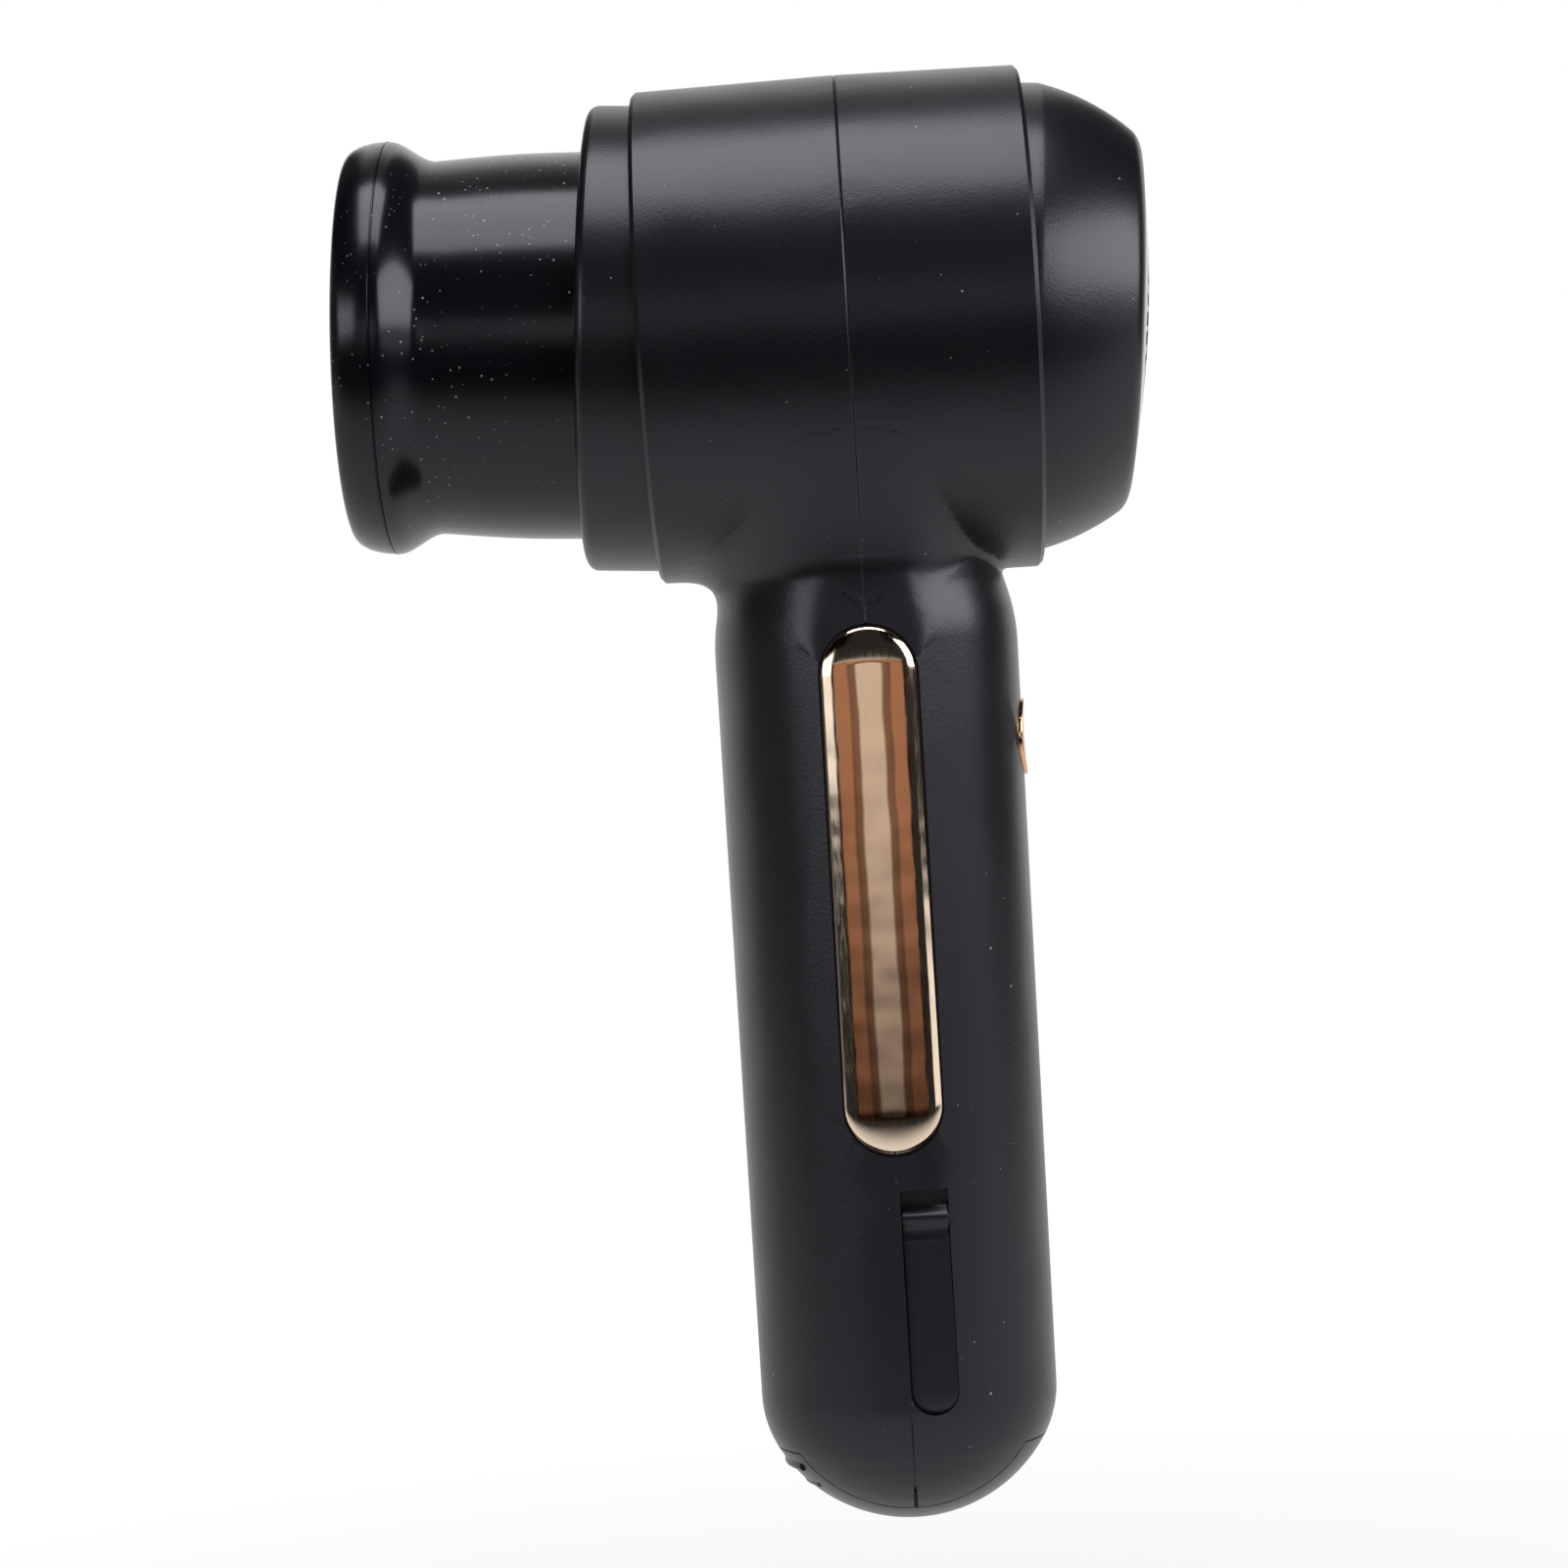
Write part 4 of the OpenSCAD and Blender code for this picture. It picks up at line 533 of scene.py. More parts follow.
# %% Distances to the barrel and the handle
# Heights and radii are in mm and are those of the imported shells.
AXIS_Z, SEAM_RADIUS, FRONT_LEN, REAR_LEN, FRONT_TAPER, REAR_TAPER = 95.0, 36.05, 29.0, 26.4, 0.75, 0.1
GRIP_TOP_R, GRIP_LOW_R, GRIP_LOW_Z = 21.85, 21.2, -57.9
SHOULDER_Z, SHOULDER_R, SHOULDER_TURN = AXIS_Z - 46.5, 28.0, radians(18)
FLAT_HALF, LEAN_TOP_Z = 7.0, 60.0
FILLET, LESS_IN_FRONT, LESS_BEHIND = 12, 6, 10.8
NECK_LOW, NECK_TOP, NECK_REACH, CORE_R_SQUARED = 42, 80, 28.4, 150
shoulder_end_r = GRIP_TOP_R - SHOULDER_R * (1 - cos(SHOULDER_TURN))
shoulder_end_z = SHOULDER_Z + SHOULDER_R * sin(SHOULDER_TURN)
end_drop = AXIS_Z - shoulder_end_z
sphere_r = SEAM_RADIUS - 0.3
flare_r = ((shoulder_end_r ** 2 + end_drop ** 2 - sphere_r ** 2)
           / (2 * (sphere_r - shoulder_end_r * cos(SHOULDER_TURN) + end_drop * sin(SHOULDER_TURN))))
flare_x = shoulder_end_r + flare_r * cos(SHOULDER_TURN)
flare_z = shoulder_end_z + flare_r * sin(SHOULDER_TURN)
flat_low, flat_top = (sqrt(r ** 2 - FLAT_HALF ** 2) for r in (GRIP_LOW_R, GRIP_TOP_R))
flat_slope = (flat_top - flat_low) / (LEAN_TOP_Z - GRIP_LOW_Z)
print("neck is narrowest at", round(flare_x - flare_r, 2), "mm, height", round(flare_z, 2))


def smooth_min(a, b, width):
    """The smaller of two distances, blended over a width."""
    share = max(width - abs(a - b), 0.0) / width
    return min(a, b) - share * share * width / 4


def between(value, start, end):
    """0 before the start, 1 after the end, and a smooth rise between them."""
    share = min(max((value - start) / (end - start), 0.0), 1.0)
    return share * share * (3 - 2 * share)


def neck_distances(x, y, z):
    """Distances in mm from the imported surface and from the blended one, positive outside."""
    barrel = hypot(y, z - AXIS_Z) - SEAM_RADIUS + (
        FRONT_TAPER * -x / FRONT_LEN if x < 0 else REAR_TAPER * x / REAR_LEN)
    reach = hypot(x, y)
    if z < SHOULDER_Z:
        grip = reach - GRIP_LOW_R - (GRIP_TOP_R - GRIP_LOW_R) * (z - GRIP_LOW_Z) / (SHOULDER_Z - GRIP_LOW_Z)
        plain = grip
    elif z < shoulder_end_z:
        grip = hypot(reach - GRIP_TOP_R + SHOULDER_R, z - SHOULDER_Z) - SHOULDER_R
        plain = grip
    else:
        grip = flare_r - hypot(reach - flare_x, z - flare_z)
        plain = grip if z < flare_z else reach - flare_x + flare_r
        if (AXIS_Z - z) * flare_x < (AXIS_Z - flare_z) * reach:
            grip = hypot(reach, z - AXIS_Z) - sphere_r
    packed = grip
    if z < flare_z:
        flat = abs(y) - flat_low - (z - GRIP_LOW_Z) * flat_slope
        packed = max(grip, flat)
        plain = -smooth_min(-plain, -flat, 0.02 + 1.4 * between(z, 44, 52))
    fillet = FILLET - LESS_IN_FRONT * between(-x, 8, 19) - LESS_BEHIND * between(x, 6, 17)
    return min(barrel, packed), smooth_min(barrel, plain, fillet)


# %% Blending the neck
def in_zone(point):
    """Whether a point is on the shell's outside near the neck, where the blended surface differs."""
    x, y, z = point
    if not NECK_LOW < z < NECK_TOP or abs(x) > NECK_REACH or x * x + y * y < CORE_R_SQUARED:
        return False
    packed, blended = neck_distances(x, y, z)
    return abs(packed) < 0.5 and abs(blended - packed) > 0.008


def refine_neck(shape, longest_mm=0.8, rounds=7):
    """Halves the long edges near the neck until they are short."""
    checked = set()
    for _ in range(rounds):
        long_edges = []
        for edge in shape.edges:
            a, b = (v.co / MM for v in edge.verts)
            length = (a - b).length
            key = (*a, *b)
            if length < longest_mm or key in checked:
                continue
            steps = min(max(int(length), 2), 24)
            if any(in_zone(a.lerp(b, t / steps)) for t in range(steps + 1)):
                long_edges.append(edge)
            else:
                checked.add(key)
        if not long_edges:
            break
        bmesh.ops.subdivide_edges(shape, edges=long_edges, cuts=1)
        bmesh.ops.triangulate(shape, faces=[face for face in shape.faces if len(face.verts) > 3])


def blend_neck(mesh):
    """Moves the outer points near the neck onto the blended surface."""
    small_steps = [Vector((0.01, 0, 0)), Vector((0, 0.01, 0)), Vector((0, 0, 0.01))]
    moved = 0
    with reshaped(mesh) as shape:
        refine_neck(shape)
        for vert in shape.verts:
            start = vert.co / MM
            if not in_zone(start) or abs(neck_distances(*start)[0]) > 0.3:
                continue
            point = start.copy()
            for _ in range(4):
                here = neck_distances(*point)[1]
                pull = Vector([neck_distances(*(point + step))[1] - neck_distances(*(point - step))[1]
                               for step in small_steps]) / 0.02
                if abs(start.x) < 0.02:
                    pull.x = 0
                point -= pull * (here / pull.length_squared)
            vert.co = point * MM
            moved += 1
    print(mesh.name, "points", len(mesh.vertices), "moved", moved)


# %% [markdown]
# ## Shell halves
# The two halves are moulded apart and meet on a plane through the handle. Each edge there has the tiny
# radius that any mould leaves, and it is this pair of radii that draws the seam as a dark line. The cut
# is made 0.22 mm from the seam, and the outer points on the seam are then sunk, which makes the
# radius without touching any other edge.


# %% Shell halves with a softened seam
def sink_seam(mesh, side, inset_mm=0.16, reach_mm=0.22):
    """Chamfers the outer edge of the seam plane x = 0 on one half, side is -1 or 1."""
    barrel_z, sunk = AXIS_Z * MM, 0
    with reshaped(mesh) as shape:
        geometry = shape.verts[:] + shape.edges[:] + shape.faces[:]
        bmesh.ops.bisect_plane(shape, geom=geometry, dist=1e-7, plane_co=(side * reach_mm * MM, 0, 0),
                               plane_no=(1, 0, 0))
        shape.normal_update()
        for vert in shape.verts:
            outer = [f.normal for f in vert.link_faces if abs(f.normal.x) < 0.5]
            if abs(vert.co.x) > 2e-6 or not outer:
                continue
            from_axis = Vector((0, vert.co.y, vert.co.z - barrel_z))
            on_barrel = from_axis.length > SEAM_RADIUS * MM - 0.3 * MM
            normal = from_axis.normalized() if on_barrel else sum(outer, Vector()).normalized()
            centre = Vector((0, 0, barrel_z if on_barrel else vert.co.z))
            if normal.dot(vert.co - centre) > 0 and (on_barrel or vert.co.z < LEAN_TOP_Z * MM):
                vert.co -= normal * inset_mm * MM
                sunk += 1
    print(mesh.name, "seam points sunk:", sunk)


for node, side in (("front_shell", -1), ("rear_shell", 1)):
    shell_mesh = joined_copy(node)
    blend_neck(shell_mesh)
    sink_seam(shell_mesh, side)
    shell = piece_from(shell_mesh, node, 28)
    shell.modifiers.new("even_shading", "WEIGHTED_NORMAL").keep_sharp = True

# %% [markdown]
# ## Nozzle
# The nozzle is one piece of silicone rubber, turned in shape: a plain neck, a shallow waist and a
# rounded lip. Its mould splits at the lip's widest circle and leaves a hair of flash there. A profile
# spun about the outlet's axis gives all of it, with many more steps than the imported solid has.

# %% Turned pieces: axes and spinning
def axis_matrix(origin_mm, tilt_deg):
    """Frame whose Z axis is the barrel's axis turned by a tilt, from an origin."""
    return (Matrix.Translation(Vector(origin_mm) * MM)
            @ Matrix.Rotation(radians(tilt_deg), 4, "Y"))


OUTLET = axis_matrix((-29, 0, 94.2), 2.6 - 90)
DOME = axis_matrix((26.4, 0, 94.6), 90 + 4.8)
BARREL = axis_matrix((0, 0, AXIS_Z), 90)


def turned(name, profile_mm, place=None, steps=160):
    """Spins a closed profile of (radius, height) points about Z, then puts it in place."""
    count = len(profile_mm)
    points, faces = [], []
    for i in range(steps):
        a = 2 * pi * i / steps
        points += [(r * MM * cos(a), r * MM * sin(a), z * MM) for r, z in profile_mm]
        for k in range(count):
            m, j = (k + 1) % count, (i + 1) % steps
            faces.append((i * count + k, j * count + k, j * count + m, i * count + m))
    return solid(name, points, faces, place, merge=True)


def arc(cx, cy, r, start, end, steps):
    """Points of an arc about (cx, cy), between two angles in degrees."""
    turns = [radians(start + (end - start) * i / steps) for i in range(steps + 1)]
    return [(cx + r * cos(a), cy + r * sin(a)) for a in turns]


# %% Nozzle
def nozzle_profile():
    """The nozzle's outside from its rear edge to the lip, then its inside back again."""
    rear, part, waist, front = 2.0, 36.8, 30.9, 42.5
    outer = [(27.85, rear + 0.3), (27.83, 8), (27.78, 13), (27.7, 17), (27.5, 21), (27.25, 24.5), (27.0, 27.5)]
    for i in range(13):
        t = i / 12
        outer.append((26.8 + 2.9 * (1 - cos(pi * t)) / 2, waist - 1 + (part - waist + 1) * t))
    outer[-1] = (29.66, part - 0.16)
    outer += [(29.52, part - 0.1), (29.74, part - 0.03), (29.74, part + 0.05), (29.54, part + 0.12),
              (29.64, part + 0.3)]
    for i in range(1, 13):
        a = radians(90 * i / 12)
        outer.append((27.2 + 2.45 * cos(a), part + (front - part) * sin(a)))
    inner = [(26.6, front - 0.12), (26.2, front - 0.5), (26.0, front - 1.2), (26.0, front - 10.2),
             (25.65, front - 10.25), (25.65, rear), (27.5, rear)]
    return outer + inner


piece_from(turned("nozzle_silicone", nozzle_profile(), OUTLET, 200), "nozzle", 50)

# %% [markdown]
# ## Cutting turned pieces
# The dome leans a little, yet it meets the barrel in an upright plane. So it is turned on its own
# leaning axis and then cut off by that plane. The cut leaves a ring-shaped opening, which is filled
# again so that the piece stays a closed solid.


# %% Cut with a plane
def cut_off(mesh, point_mm, normal):
    """Removes what lies on the normal's side of a plane and closes the cut."""
    with reshaped(mesh) as shape:
        geometry = shape.verts[:] + shape.edges[:] + shape.faces[:]
        bmesh.ops.bisect_plane(shape, geom=geometry, dist=1e-7, plane_co=Vector(point_mm) * MM,
                               plane_no=normal, clear_outer=True)
        rim = [edge for edge in shape.edges if edge.is_boundary]
        bmesh.ops.triangle_fill(shape, edges=rim, use_beauty=True, use_dissolve=False)
        bmesh.ops.recalc_face_normals(shape, faces=shape.faces)
        left_open = sum(edge.is_boundary for edge in shape.edges)
    print(mesh.name, "cut, open edges left:", left_open)
    return mesh


# %% [markdown]
# ## Rear dome
# The dome narrows in one soft curve from the barrel to the rim of the intake, then rolls over a small
# radius into its flat rear edge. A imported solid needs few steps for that; a satin highlight needs many,
# so the profile is drawn again with fine arcs.

# %% Rear dome
DOME_SEAT_R, DOME_WALL, DOME_TAIL = 33.7, 2.2, -3.0
dome_curve_r, dome_corner_r, dome_start, dome_end = 34.0, 3.7, 12.5, 37.5
dome_mid_s = -dome_curve_r * sin(radians(dome_start))
dome_mid_r = DOME_SEAT_R - dome_curve_r * cos(radians(dome_start))
dome_corner_s = dome_mid_s + (dome_curve_r - dome_corner_r) * sin(radians(dome_end))
dome_face_r = dome_mid_r + (dome_curve_r - dome_corner_r) * cos(radians(dome_end))
dome_len = dome_corner_s + dome_corner_r
grille_r = dome_face_r - 0.3
dome_outer = ([(DOME_SEAT_R, DOME_TAIL), (DOME_SEAT_R, -1.0)]
              + arc(dome_mid_r, dome_mid_s, dome_curve_r, dome_start, dome_end, 28)
              + arc(dome_face_r, dome_corner_s, dome_corner_r, dome_end, 90, 14)[1:])
dome_inner = ([(grille_r + 0.32, dome_len), (grille_r + 0.2, dome_len - 0.14),
               (grille_r + 0.2, dome_len - 1.2), (grille_r - 1.7, dome_len - 1.2),
               (grille_r - 1.7, dome_len - DOME_WALL)]
              + arc(dome_mid_r, dome_mid_s, dome_curve_r - DOME_WALL, dome_end - 2, dome_start, 12)
              + [(31.1, DOME_TAIL)])
dome_mesh = cut_off(turned("rear_dome_abs", dome_outer + dome_inner, DOME, 200), (26.12, 0, 0), (-1, 0, 0))
piece_from(dome_mesh, "rear_dome", 40)

# %% [markdown]
# ## Geometry Nodes: one rule, many copies
# Bars, coils, screws and blades repeat round an axis. A Geometry Nodes tree takes one unit, sets copies
# of it round Z by count, and turns the copies into real mesh. One such tree makes both rows of the
# grille's bars, and its middle part is used again for the blades, the coils and the motor's screws. A
# small runner evaluates a tree once and keeps the plain mesh. In the rules below, put adds a node to
# the tree at hand, calc adds a step of arithmetic, and given holds the tree's inputs.


# %% Runner for Geometry Nodes trees
def new_tree(name, real, whole=("Count",)):
    """A tree with a mesh in and out, real and whole numbers as inputs, and the helpers bound to it."""
    tree = bpy.data.node_groups.new(name, "GeometryNodeTree")
    kinds = {"Geometry": "Geometry", **dict.fromkeys(whole, "Int"), **dict.fromkeys(real, "Float"),
             "Finish": "Material"}
    for label, kind in kinds.items():
        tree.interface.new_socket(label, in_out="INPUT", socket_type="NodeSocket" + kind)
    tree.interface.new_socket("Geometry", in_out="OUTPUT", socket_type="NodeSocketGeometry")
    return tree, add(tree, "NodeGroupInput").outputs, functools.partial(add, tree), functools.partial(maths, tree)


def close_tree(tree, given, geometry):
    """Ends a tree: real mesh instead of instances, with its material."""
    real = add(tree, "GeometryNodeRealizeInstances", {"Geometry": geometry})
    painted = add(tree, "GeometryNodeSetMaterial", {"Geometry": real.outputs[0], "Material": given["Finish"]})
    add(tree, "NodeGroupOutput", {"Geometry": painted.outputs[0]})


def grown(name, tree, start=None, place=None, **values):
    """Runs a tree once on a starting mesh and returns a plain mesh, put in place."""
    holder = bpy.data.objects.new(name, start or bpy.data.meshes.new(name + "_start"))
    scene.collection.objects.link(holder)
    rule = holder.modifiers.new("rule", "NODES")
    rule.node_group = tree
    for item in tree.interface.items_tree:
        key = item.name.lower().replace(" ", "_")
        if item.in_out == "INPUT" and key in values:
            rule[item.identifier] = values[key]
    ready = bpy.context.evaluated_depsgraph_get()
    mesh = bpy.data.meshes.new_from_object(holder.evaluated_get(ready), depsgraph=ready)
    bpy.data.objects.remove(holder)
    mesh.name = name
    if place:
        mesh.transform(place)
    print(f"{name}: {len(mesh.vertices)} points from the rule {tree.name}")
    return mesh


def spread_round(tree, unit, count, first):
    """Sets copies of a unit at even angles round Z."""
    spots = add(tree, "GeometryNodeMeshLine", {"Count": count, "Offset": (0, 0, 0)})
    step = maths(tree, "DIVIDE", 2 * pi, count)
    angle = maths(tree, "MULTIPLY_ADD", add(tree, "GeometryNodeInputIndex").outputs[0], step, first)
    turn = add(tree, "FunctionNodeEulerToRotation", {0: vector(tree, 0.0, 0.0, angle)})
    copies = add(tree, "GeometryNodeInstanceOnPoints",
                 {"Points": spots.outputs[0], "Instance": unit, "Rotation": turn.outputs[0]})
    return copies.outputs[0]


round_axis, given, *_ = new_tree("copies_round_an_axis", ["First Angle"])
close_tree(round_axis, given, spread_round(round_axis, given["Geometry"], given["Count"], given["First Angle"]))
print("tree ready:", round_axis.name)


# %% Joining meshes into one
def joined(name, meshes):
    """Several meshes as one."""
    whole = bpy.data.meshes.new(name)
    with reshaped(whole) as shape:
        for mesh in meshes:
            shape.from_mesh(mesh)
    return whole


def block(name, low_mm, high_mm, bevel_mm):
    """A box with bevelled edges between two corners."""
    mesh = bpy.data.meshes.new(name)
    low, high = Vector(low_mm) * MM, Vector(high_mm) * MM
    with reshaped(mesh) as shape:
        bmesh.ops.create_cube(shape, size=1)
        for vert in shape.verts:
            vert.co = Vector([(a + b) / 2 + c * (b - a) for a, b, c in zip(low, high, vert.co)])
        bmesh.ops.bevel(shape, geom=shape.edges[:], offset=bevel_mm * MM, segments=2, affect="EDGES", profile=0.5)
    return mesh


# %% [markdown]
# ## Intake grille
# The intake is a shallow convex disc in mirror-black plastic. Three rings carry two rows of radial
# bars, and the air goes in between the bars. Each bar is bent on the disc's large radius once, and the
# tree repeats it 16 and 32 times.

# %% Intake grille
CROWN = 1.9
ball_r = (grille_r ** 2 + CROWN ** 2) / (2 * CROWN)


def disc_height(r):
    """Height of the convex disc at a radius, on the dome's axis."""
    return dome_len + CROWN - ball_r + sqrt(ball_r ** 2 - r ** 2)


def disc_ring(name, inner, outer, thickness=1.6, steps=8):
    """A ring that follows the disc, with small radii on its edges."""
    top = [(inner + 0.25 + (outer - inner - 0.5) * i / steps) for i in range(steps + 1)]
    profile = ([(inner, disc_height(inner) - 0.25), (inner + 0.07, disc_height(inner) - 0.07)]
               + [(r, disc_height(r)) for r in top]
               + [(outer - 0.07, disc_height(outer) - 0.07), (outer, disc_height(outer) - 0.25),
                  (outer, disc_height(outer) - thickness), (inner, disc_height(inner) - thickness)])
    return turned(name, profile)


def disc_bar(inner, outer, width=1.2, thickness=1.5):
    """One radial bar with a rounded top, bent on the disc."""
    section = [(-0.5, -1.0), (-0.5, -0.22), (-0.36, -0.06), (0.0, 0.0), (0.36, -0.06), (0.5, -0.22), (0.5, -1.0)]
    stations = [inner - 0.3 + (outer - inner + 0.6) * i / 6 for i in range(7)]
    points = [(r * MM, y * width * MM, (disc_height(r) + z * thickness - 0.03) * MM)
              for r in stations for y, z in section]
    return solid("bar", points, skin(len(stations), len(section)))


RING_HALF, CAP_R, RIM_WIDTH = 0.65, 6.25, 5.2
slot_inner, slot_outer = 6.5, grille_r - RIM_WIDTH
slot_middle = (slot_inner + slot_outer) / 2 - 1
seat_r, seat_z = grille_r - 1.65, dome_len - 1.12
rim_profile = ([(r, disc_height(r)) for r in [slot_outer + 0.2 + (RIM_WIDTH - 0.4) * i / 8 for i in range(9)]]
               + [(grille_r - 0.06, disc_height(grille_r) - 0.06), (grille_r, disc_height(grille_r) - 0.2),
                  (grille_r, seat_z), (seat_r, seat_z), (seat_r, disc_height(seat_r) - 1.6),
                  (slot_outer, disc_height(slot_outer) - 1.6), (slot_outer, disc_height(slot_outer) - 0.2)])
cap_profile = ([(0.001, disc_height(0))] + [(CAP_R * i / 6, disc_height(CAP_R * i / 6)) for i in range(1, 7)]
               + [(6.43, disc_height(6.43) - 0.07), (slot_inner, disc_height(slot_inner) - 0.25),
                  (slot_inner, disc_height(slot_inner) - 1.6), (0.001, disc_height(0) - 1.6)])
inner_bar = disc_bar(slot_inner, slot_middle - RING_HALF)
outer_bar = disc_bar(slot_middle + RING_HALF, slot_outer)
grille_mesh = joined("intake_grille_bars", [
    turned("rim", rim_profile), turned("cap", cap_profile, steps=96),
    disc_ring("middle_ring", slot_middle - RING_HALF, slot_middle + RING_HALF),
    grown("inner_bars", round_axis, inner_bar, count=16, finish=FINISHES["gloss_black"]),
    grown("outer_bars", round_axis, outer_bar, count=32, finish=FINISHES["gloss_black"])])
grille_mesh.transform(DOME)
piece_from(grille_mesh, "intake_grille", 35)

# %% [markdown]
# ## Trim plates
# A plate is a stadium shape, crowned all over like a pebble: nearly flat in the middle and rolled down
# towards its rim, at the round ends as well as along the sides. That is why it mirrors the room in long
# stripes that close at the ends. The plate is laid out in rings from its spine to its rim, and each
# ring's height follows from a slope that grows quickly near the rim.

# %% Crowned trim plates
plate_w, plate_len, plate_z = 13.7, 73.9, 13.85
plate_back, plate_top_y = 19.2043, 21.3043
MIDDLE_SLOPE_DEG, RIM_SLOPE_DEG = 12, 34


def crown_drop(share):
    """How far the crown has dropped at a share of the half width, in mm."""
    total, steps = 0.0, 40
    for i in range(steps):
        s = share * (i + 0.5) / steps
        total += tan(radians(MIDDLE_SLOPE_DEG * s + RIM_SLOPE_DEG * s ** 9)) * share / steps * plate_w / 2
    return total


def spine_rings(shares, around=24):
    """Rings of (x, z) points that grow from the plate's spine to its rim."""
    half = (plate_len - plate_w) / 2
    down = [half * (1 - 2 * i / 16) for i in range(1, 16)]
    up = [half * (2 * i / 16 - 1) for i in range(1, 16)]
    rings = []
    for share in shares:
        r = share * plate_w / 2
        rings.append(arc(0, half, r, 0, 180, around) + [(-r, z) for z in down]
                     + arc(0, -half, r, 180, 360, around) + [(r, z) for z in up])
    return rings


def crowned_plate(name, side):
    """A plate from its spine to its rim, and straight down to its back."""
    shares = [0.02] + [i / 12 for i in range(1, 11)] + [0.87, 0.9, 0.93, 0.955, 0.975, 0.99, 1.0]
    rings = spine_rings(shares)
    heights = [plate_top_y - crown_drop(s) for s in shares]
    print(name, "rim stands", round(heights[-1] - plate_back, 2), "mm above its back")
    rings.append(rings[-1])
    heights.append(plate_back)
    points = [(x * MM, side * y * MM, (plate_z + z) * MM) for ring, y in zip(rings, heights) for x, z in ring]
    return solid(name, points, skin(len(rings), len(rings[0])))


for node, side in (("trim_plate_left", -1), ("trim_plate_right", 1)):
    piece_from(crowned_plate(node + "_film", side), node, 50, plate_gold_painted_reflections)

# %% [markdown]
# ## Power button
# The button carries the same rose gold film as the plates. Its face is dished for the thumb, so from the
# side only its bright rim stands out of the handle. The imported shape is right; its edges get a radius.

# %% Power button
button = piece_from(joined_copy("power_button"), "power_button", 30)
soften(button, 0.18, 35, 3)

# %% [markdown]
# ## Charging port cover
# A strip of soft rubber closes the charging port. A rolled lip at the top stands out for a fingernail,
# with a scoop below it, and the lower end is fixed, so the strip bends there. The moving strip and its
# fixed root are drawn as one surface that is split at the bend, so that no joint shows when it is shut.

# %% Charging port cover
cover_x, cover_half, cover_y = 3.5, 3.27, -20.0891
cover_top, cover_low, cover_back = -29.9, -59.22, cover_y + 1.6
LIP_PEAK, SCOOP_BOTTOM, FACE_START, BEND_Z = -32.0, -33.8, -35.4, -52.2
PLUG_Z, PLUG_HALF_LEN, PLUG_HALF_W = -37.9, 3.77, 1.33
round_z = cover_low + cover_half


def ease(share):
    """0 to 1 along half a cosine wave, so that both ends run in softly."""
    return (1 - cos(pi * min(max(share, 0.0), 1.0))) / 2


def cover_front(z):
    """Depth of the cover's face at height z: the rolled lip, the scoop under it, then flat."""
    peak, bottom = cover_y - 0.5, cover_y + 0.28
    if z > LIP_PEAK:
        return peak + 1.35 * ease((z - LIP_PEAK) / (cover_top - LIP_PEAK))
    if z > SCOOP_BOTTOM:
        return peak + (bottom - peak) * ease((LIP_PEAK - z) / (LIP_PEAK - SCOOP_BOTTOM))
    return bottom + (cover_y - bottom) * ease((SCOOP_BOTTOM - z) / (SCOOP_BOTTOM - FACE_START))


def cover_width(z):
    """Half width at height z, with the round lower end."""
    return cover_half if z > round_z else sqrt(max(cover_half ** 2 - (z - round_z) ** 2, 1e-6))


def cover_strip(name, heights, edge_r=0.14):
    """A closed strip through the given heights, with rounded long edges."""
    points = []
    for z in heights:
        w, y = cover_width(z), cover_front(z)
        r = min(edge_r, w)
        low_rise = edge_r * max(0.0, 1 - (z - cover_low) / edge_r) ** 2
        front = [(-w + r * (1 - sin(radians(a))), y + low_rise + r * (1 - cos(radians(a))))
                 for a in (90, 60, 30, 0)]
        row = [(-w, cover_back)] + front + [(-x, d) for x, d in reversed(front)] + [(w, cover_back)]
        points += [((cover_x + x) * MM, d * MM, z * MM) for x, d in row]
    return solid(name, points, skin(len(heights), len(points) // len(heights)))


lip_heights = [cover_top - (cover_top - LIP_PEAK) * i / 14 for i in range(15)]
face_heights = [LIP_PEAK - 0.2 * i for i in range(1, 20)] + [-38.0, -42.0, -47.0, BEND_Z - 0.24]
root_heights = [BEND_Z - 0.25, -54.0] + [round_z - cover_half * sin(radians(a)) for a in range(0, 91, 6)]
plug_block = block("plug", (cover_x - PLUG_HALF_W, cover_back - 0.1, PLUG_Z - PLUG_HALF_LEN),
                   (cover_x + PLUG_HALF_W, cover_back + 1.2, PLUG_Z + PLUG_HALF_LEN), 0.5)
piece_from(joined("port_cover_strip", [cover_strip("strip", lip_heights + face_heights), plug_block]),
           "port_cover", 40)
piece_from(cover_strip("port_cover_fixed_end", root_heights), "port_cover_root", 40)

# %% [markdown]
# ## Bottom cap with grip ribs
# The cap is a band of the handle's round end, between the two cheeks. It is turned with the handle's
# own profile and then cut to width and height. Its three grip ribs are round bars that hug the curve at
# three heights. Their tree works out each rib's radius from its height, then sweeps a circle along it.

# %% Grip ribs from a rule
RIB_SINK, RIB_BEND_R = 0.25 * MM, 19.2 * MM
ribs_tree, given, put, calc = new_tree("grip_ribs", ["First Rise", "Pitch", "Rib Radius", "Reach", "Corner Radius",
                                                     "Core Radius", "End Rise"])
spots = put("GeometryNodeMeshLine", {"Count": given["Count"], "Offset": (0, 0, 0)})
rise = calc("MULTIPLY_ADD", put("GeometryNodeInputIndex").outputs[0], given["Pitch"], given["First Rise"])
below = calc("SUBTRACT", given["End Rise"], rise)
squares = [calc("MULTIPLY", side, side) for side in (given["Corner Radius"], below)]
curve_reach = calc("SQRT", calc("SUBTRACT", *squares))
radius = calc("SUBTRACT", calc("ADD", given["Core Radius"], curve_reach), RIB_SINK)
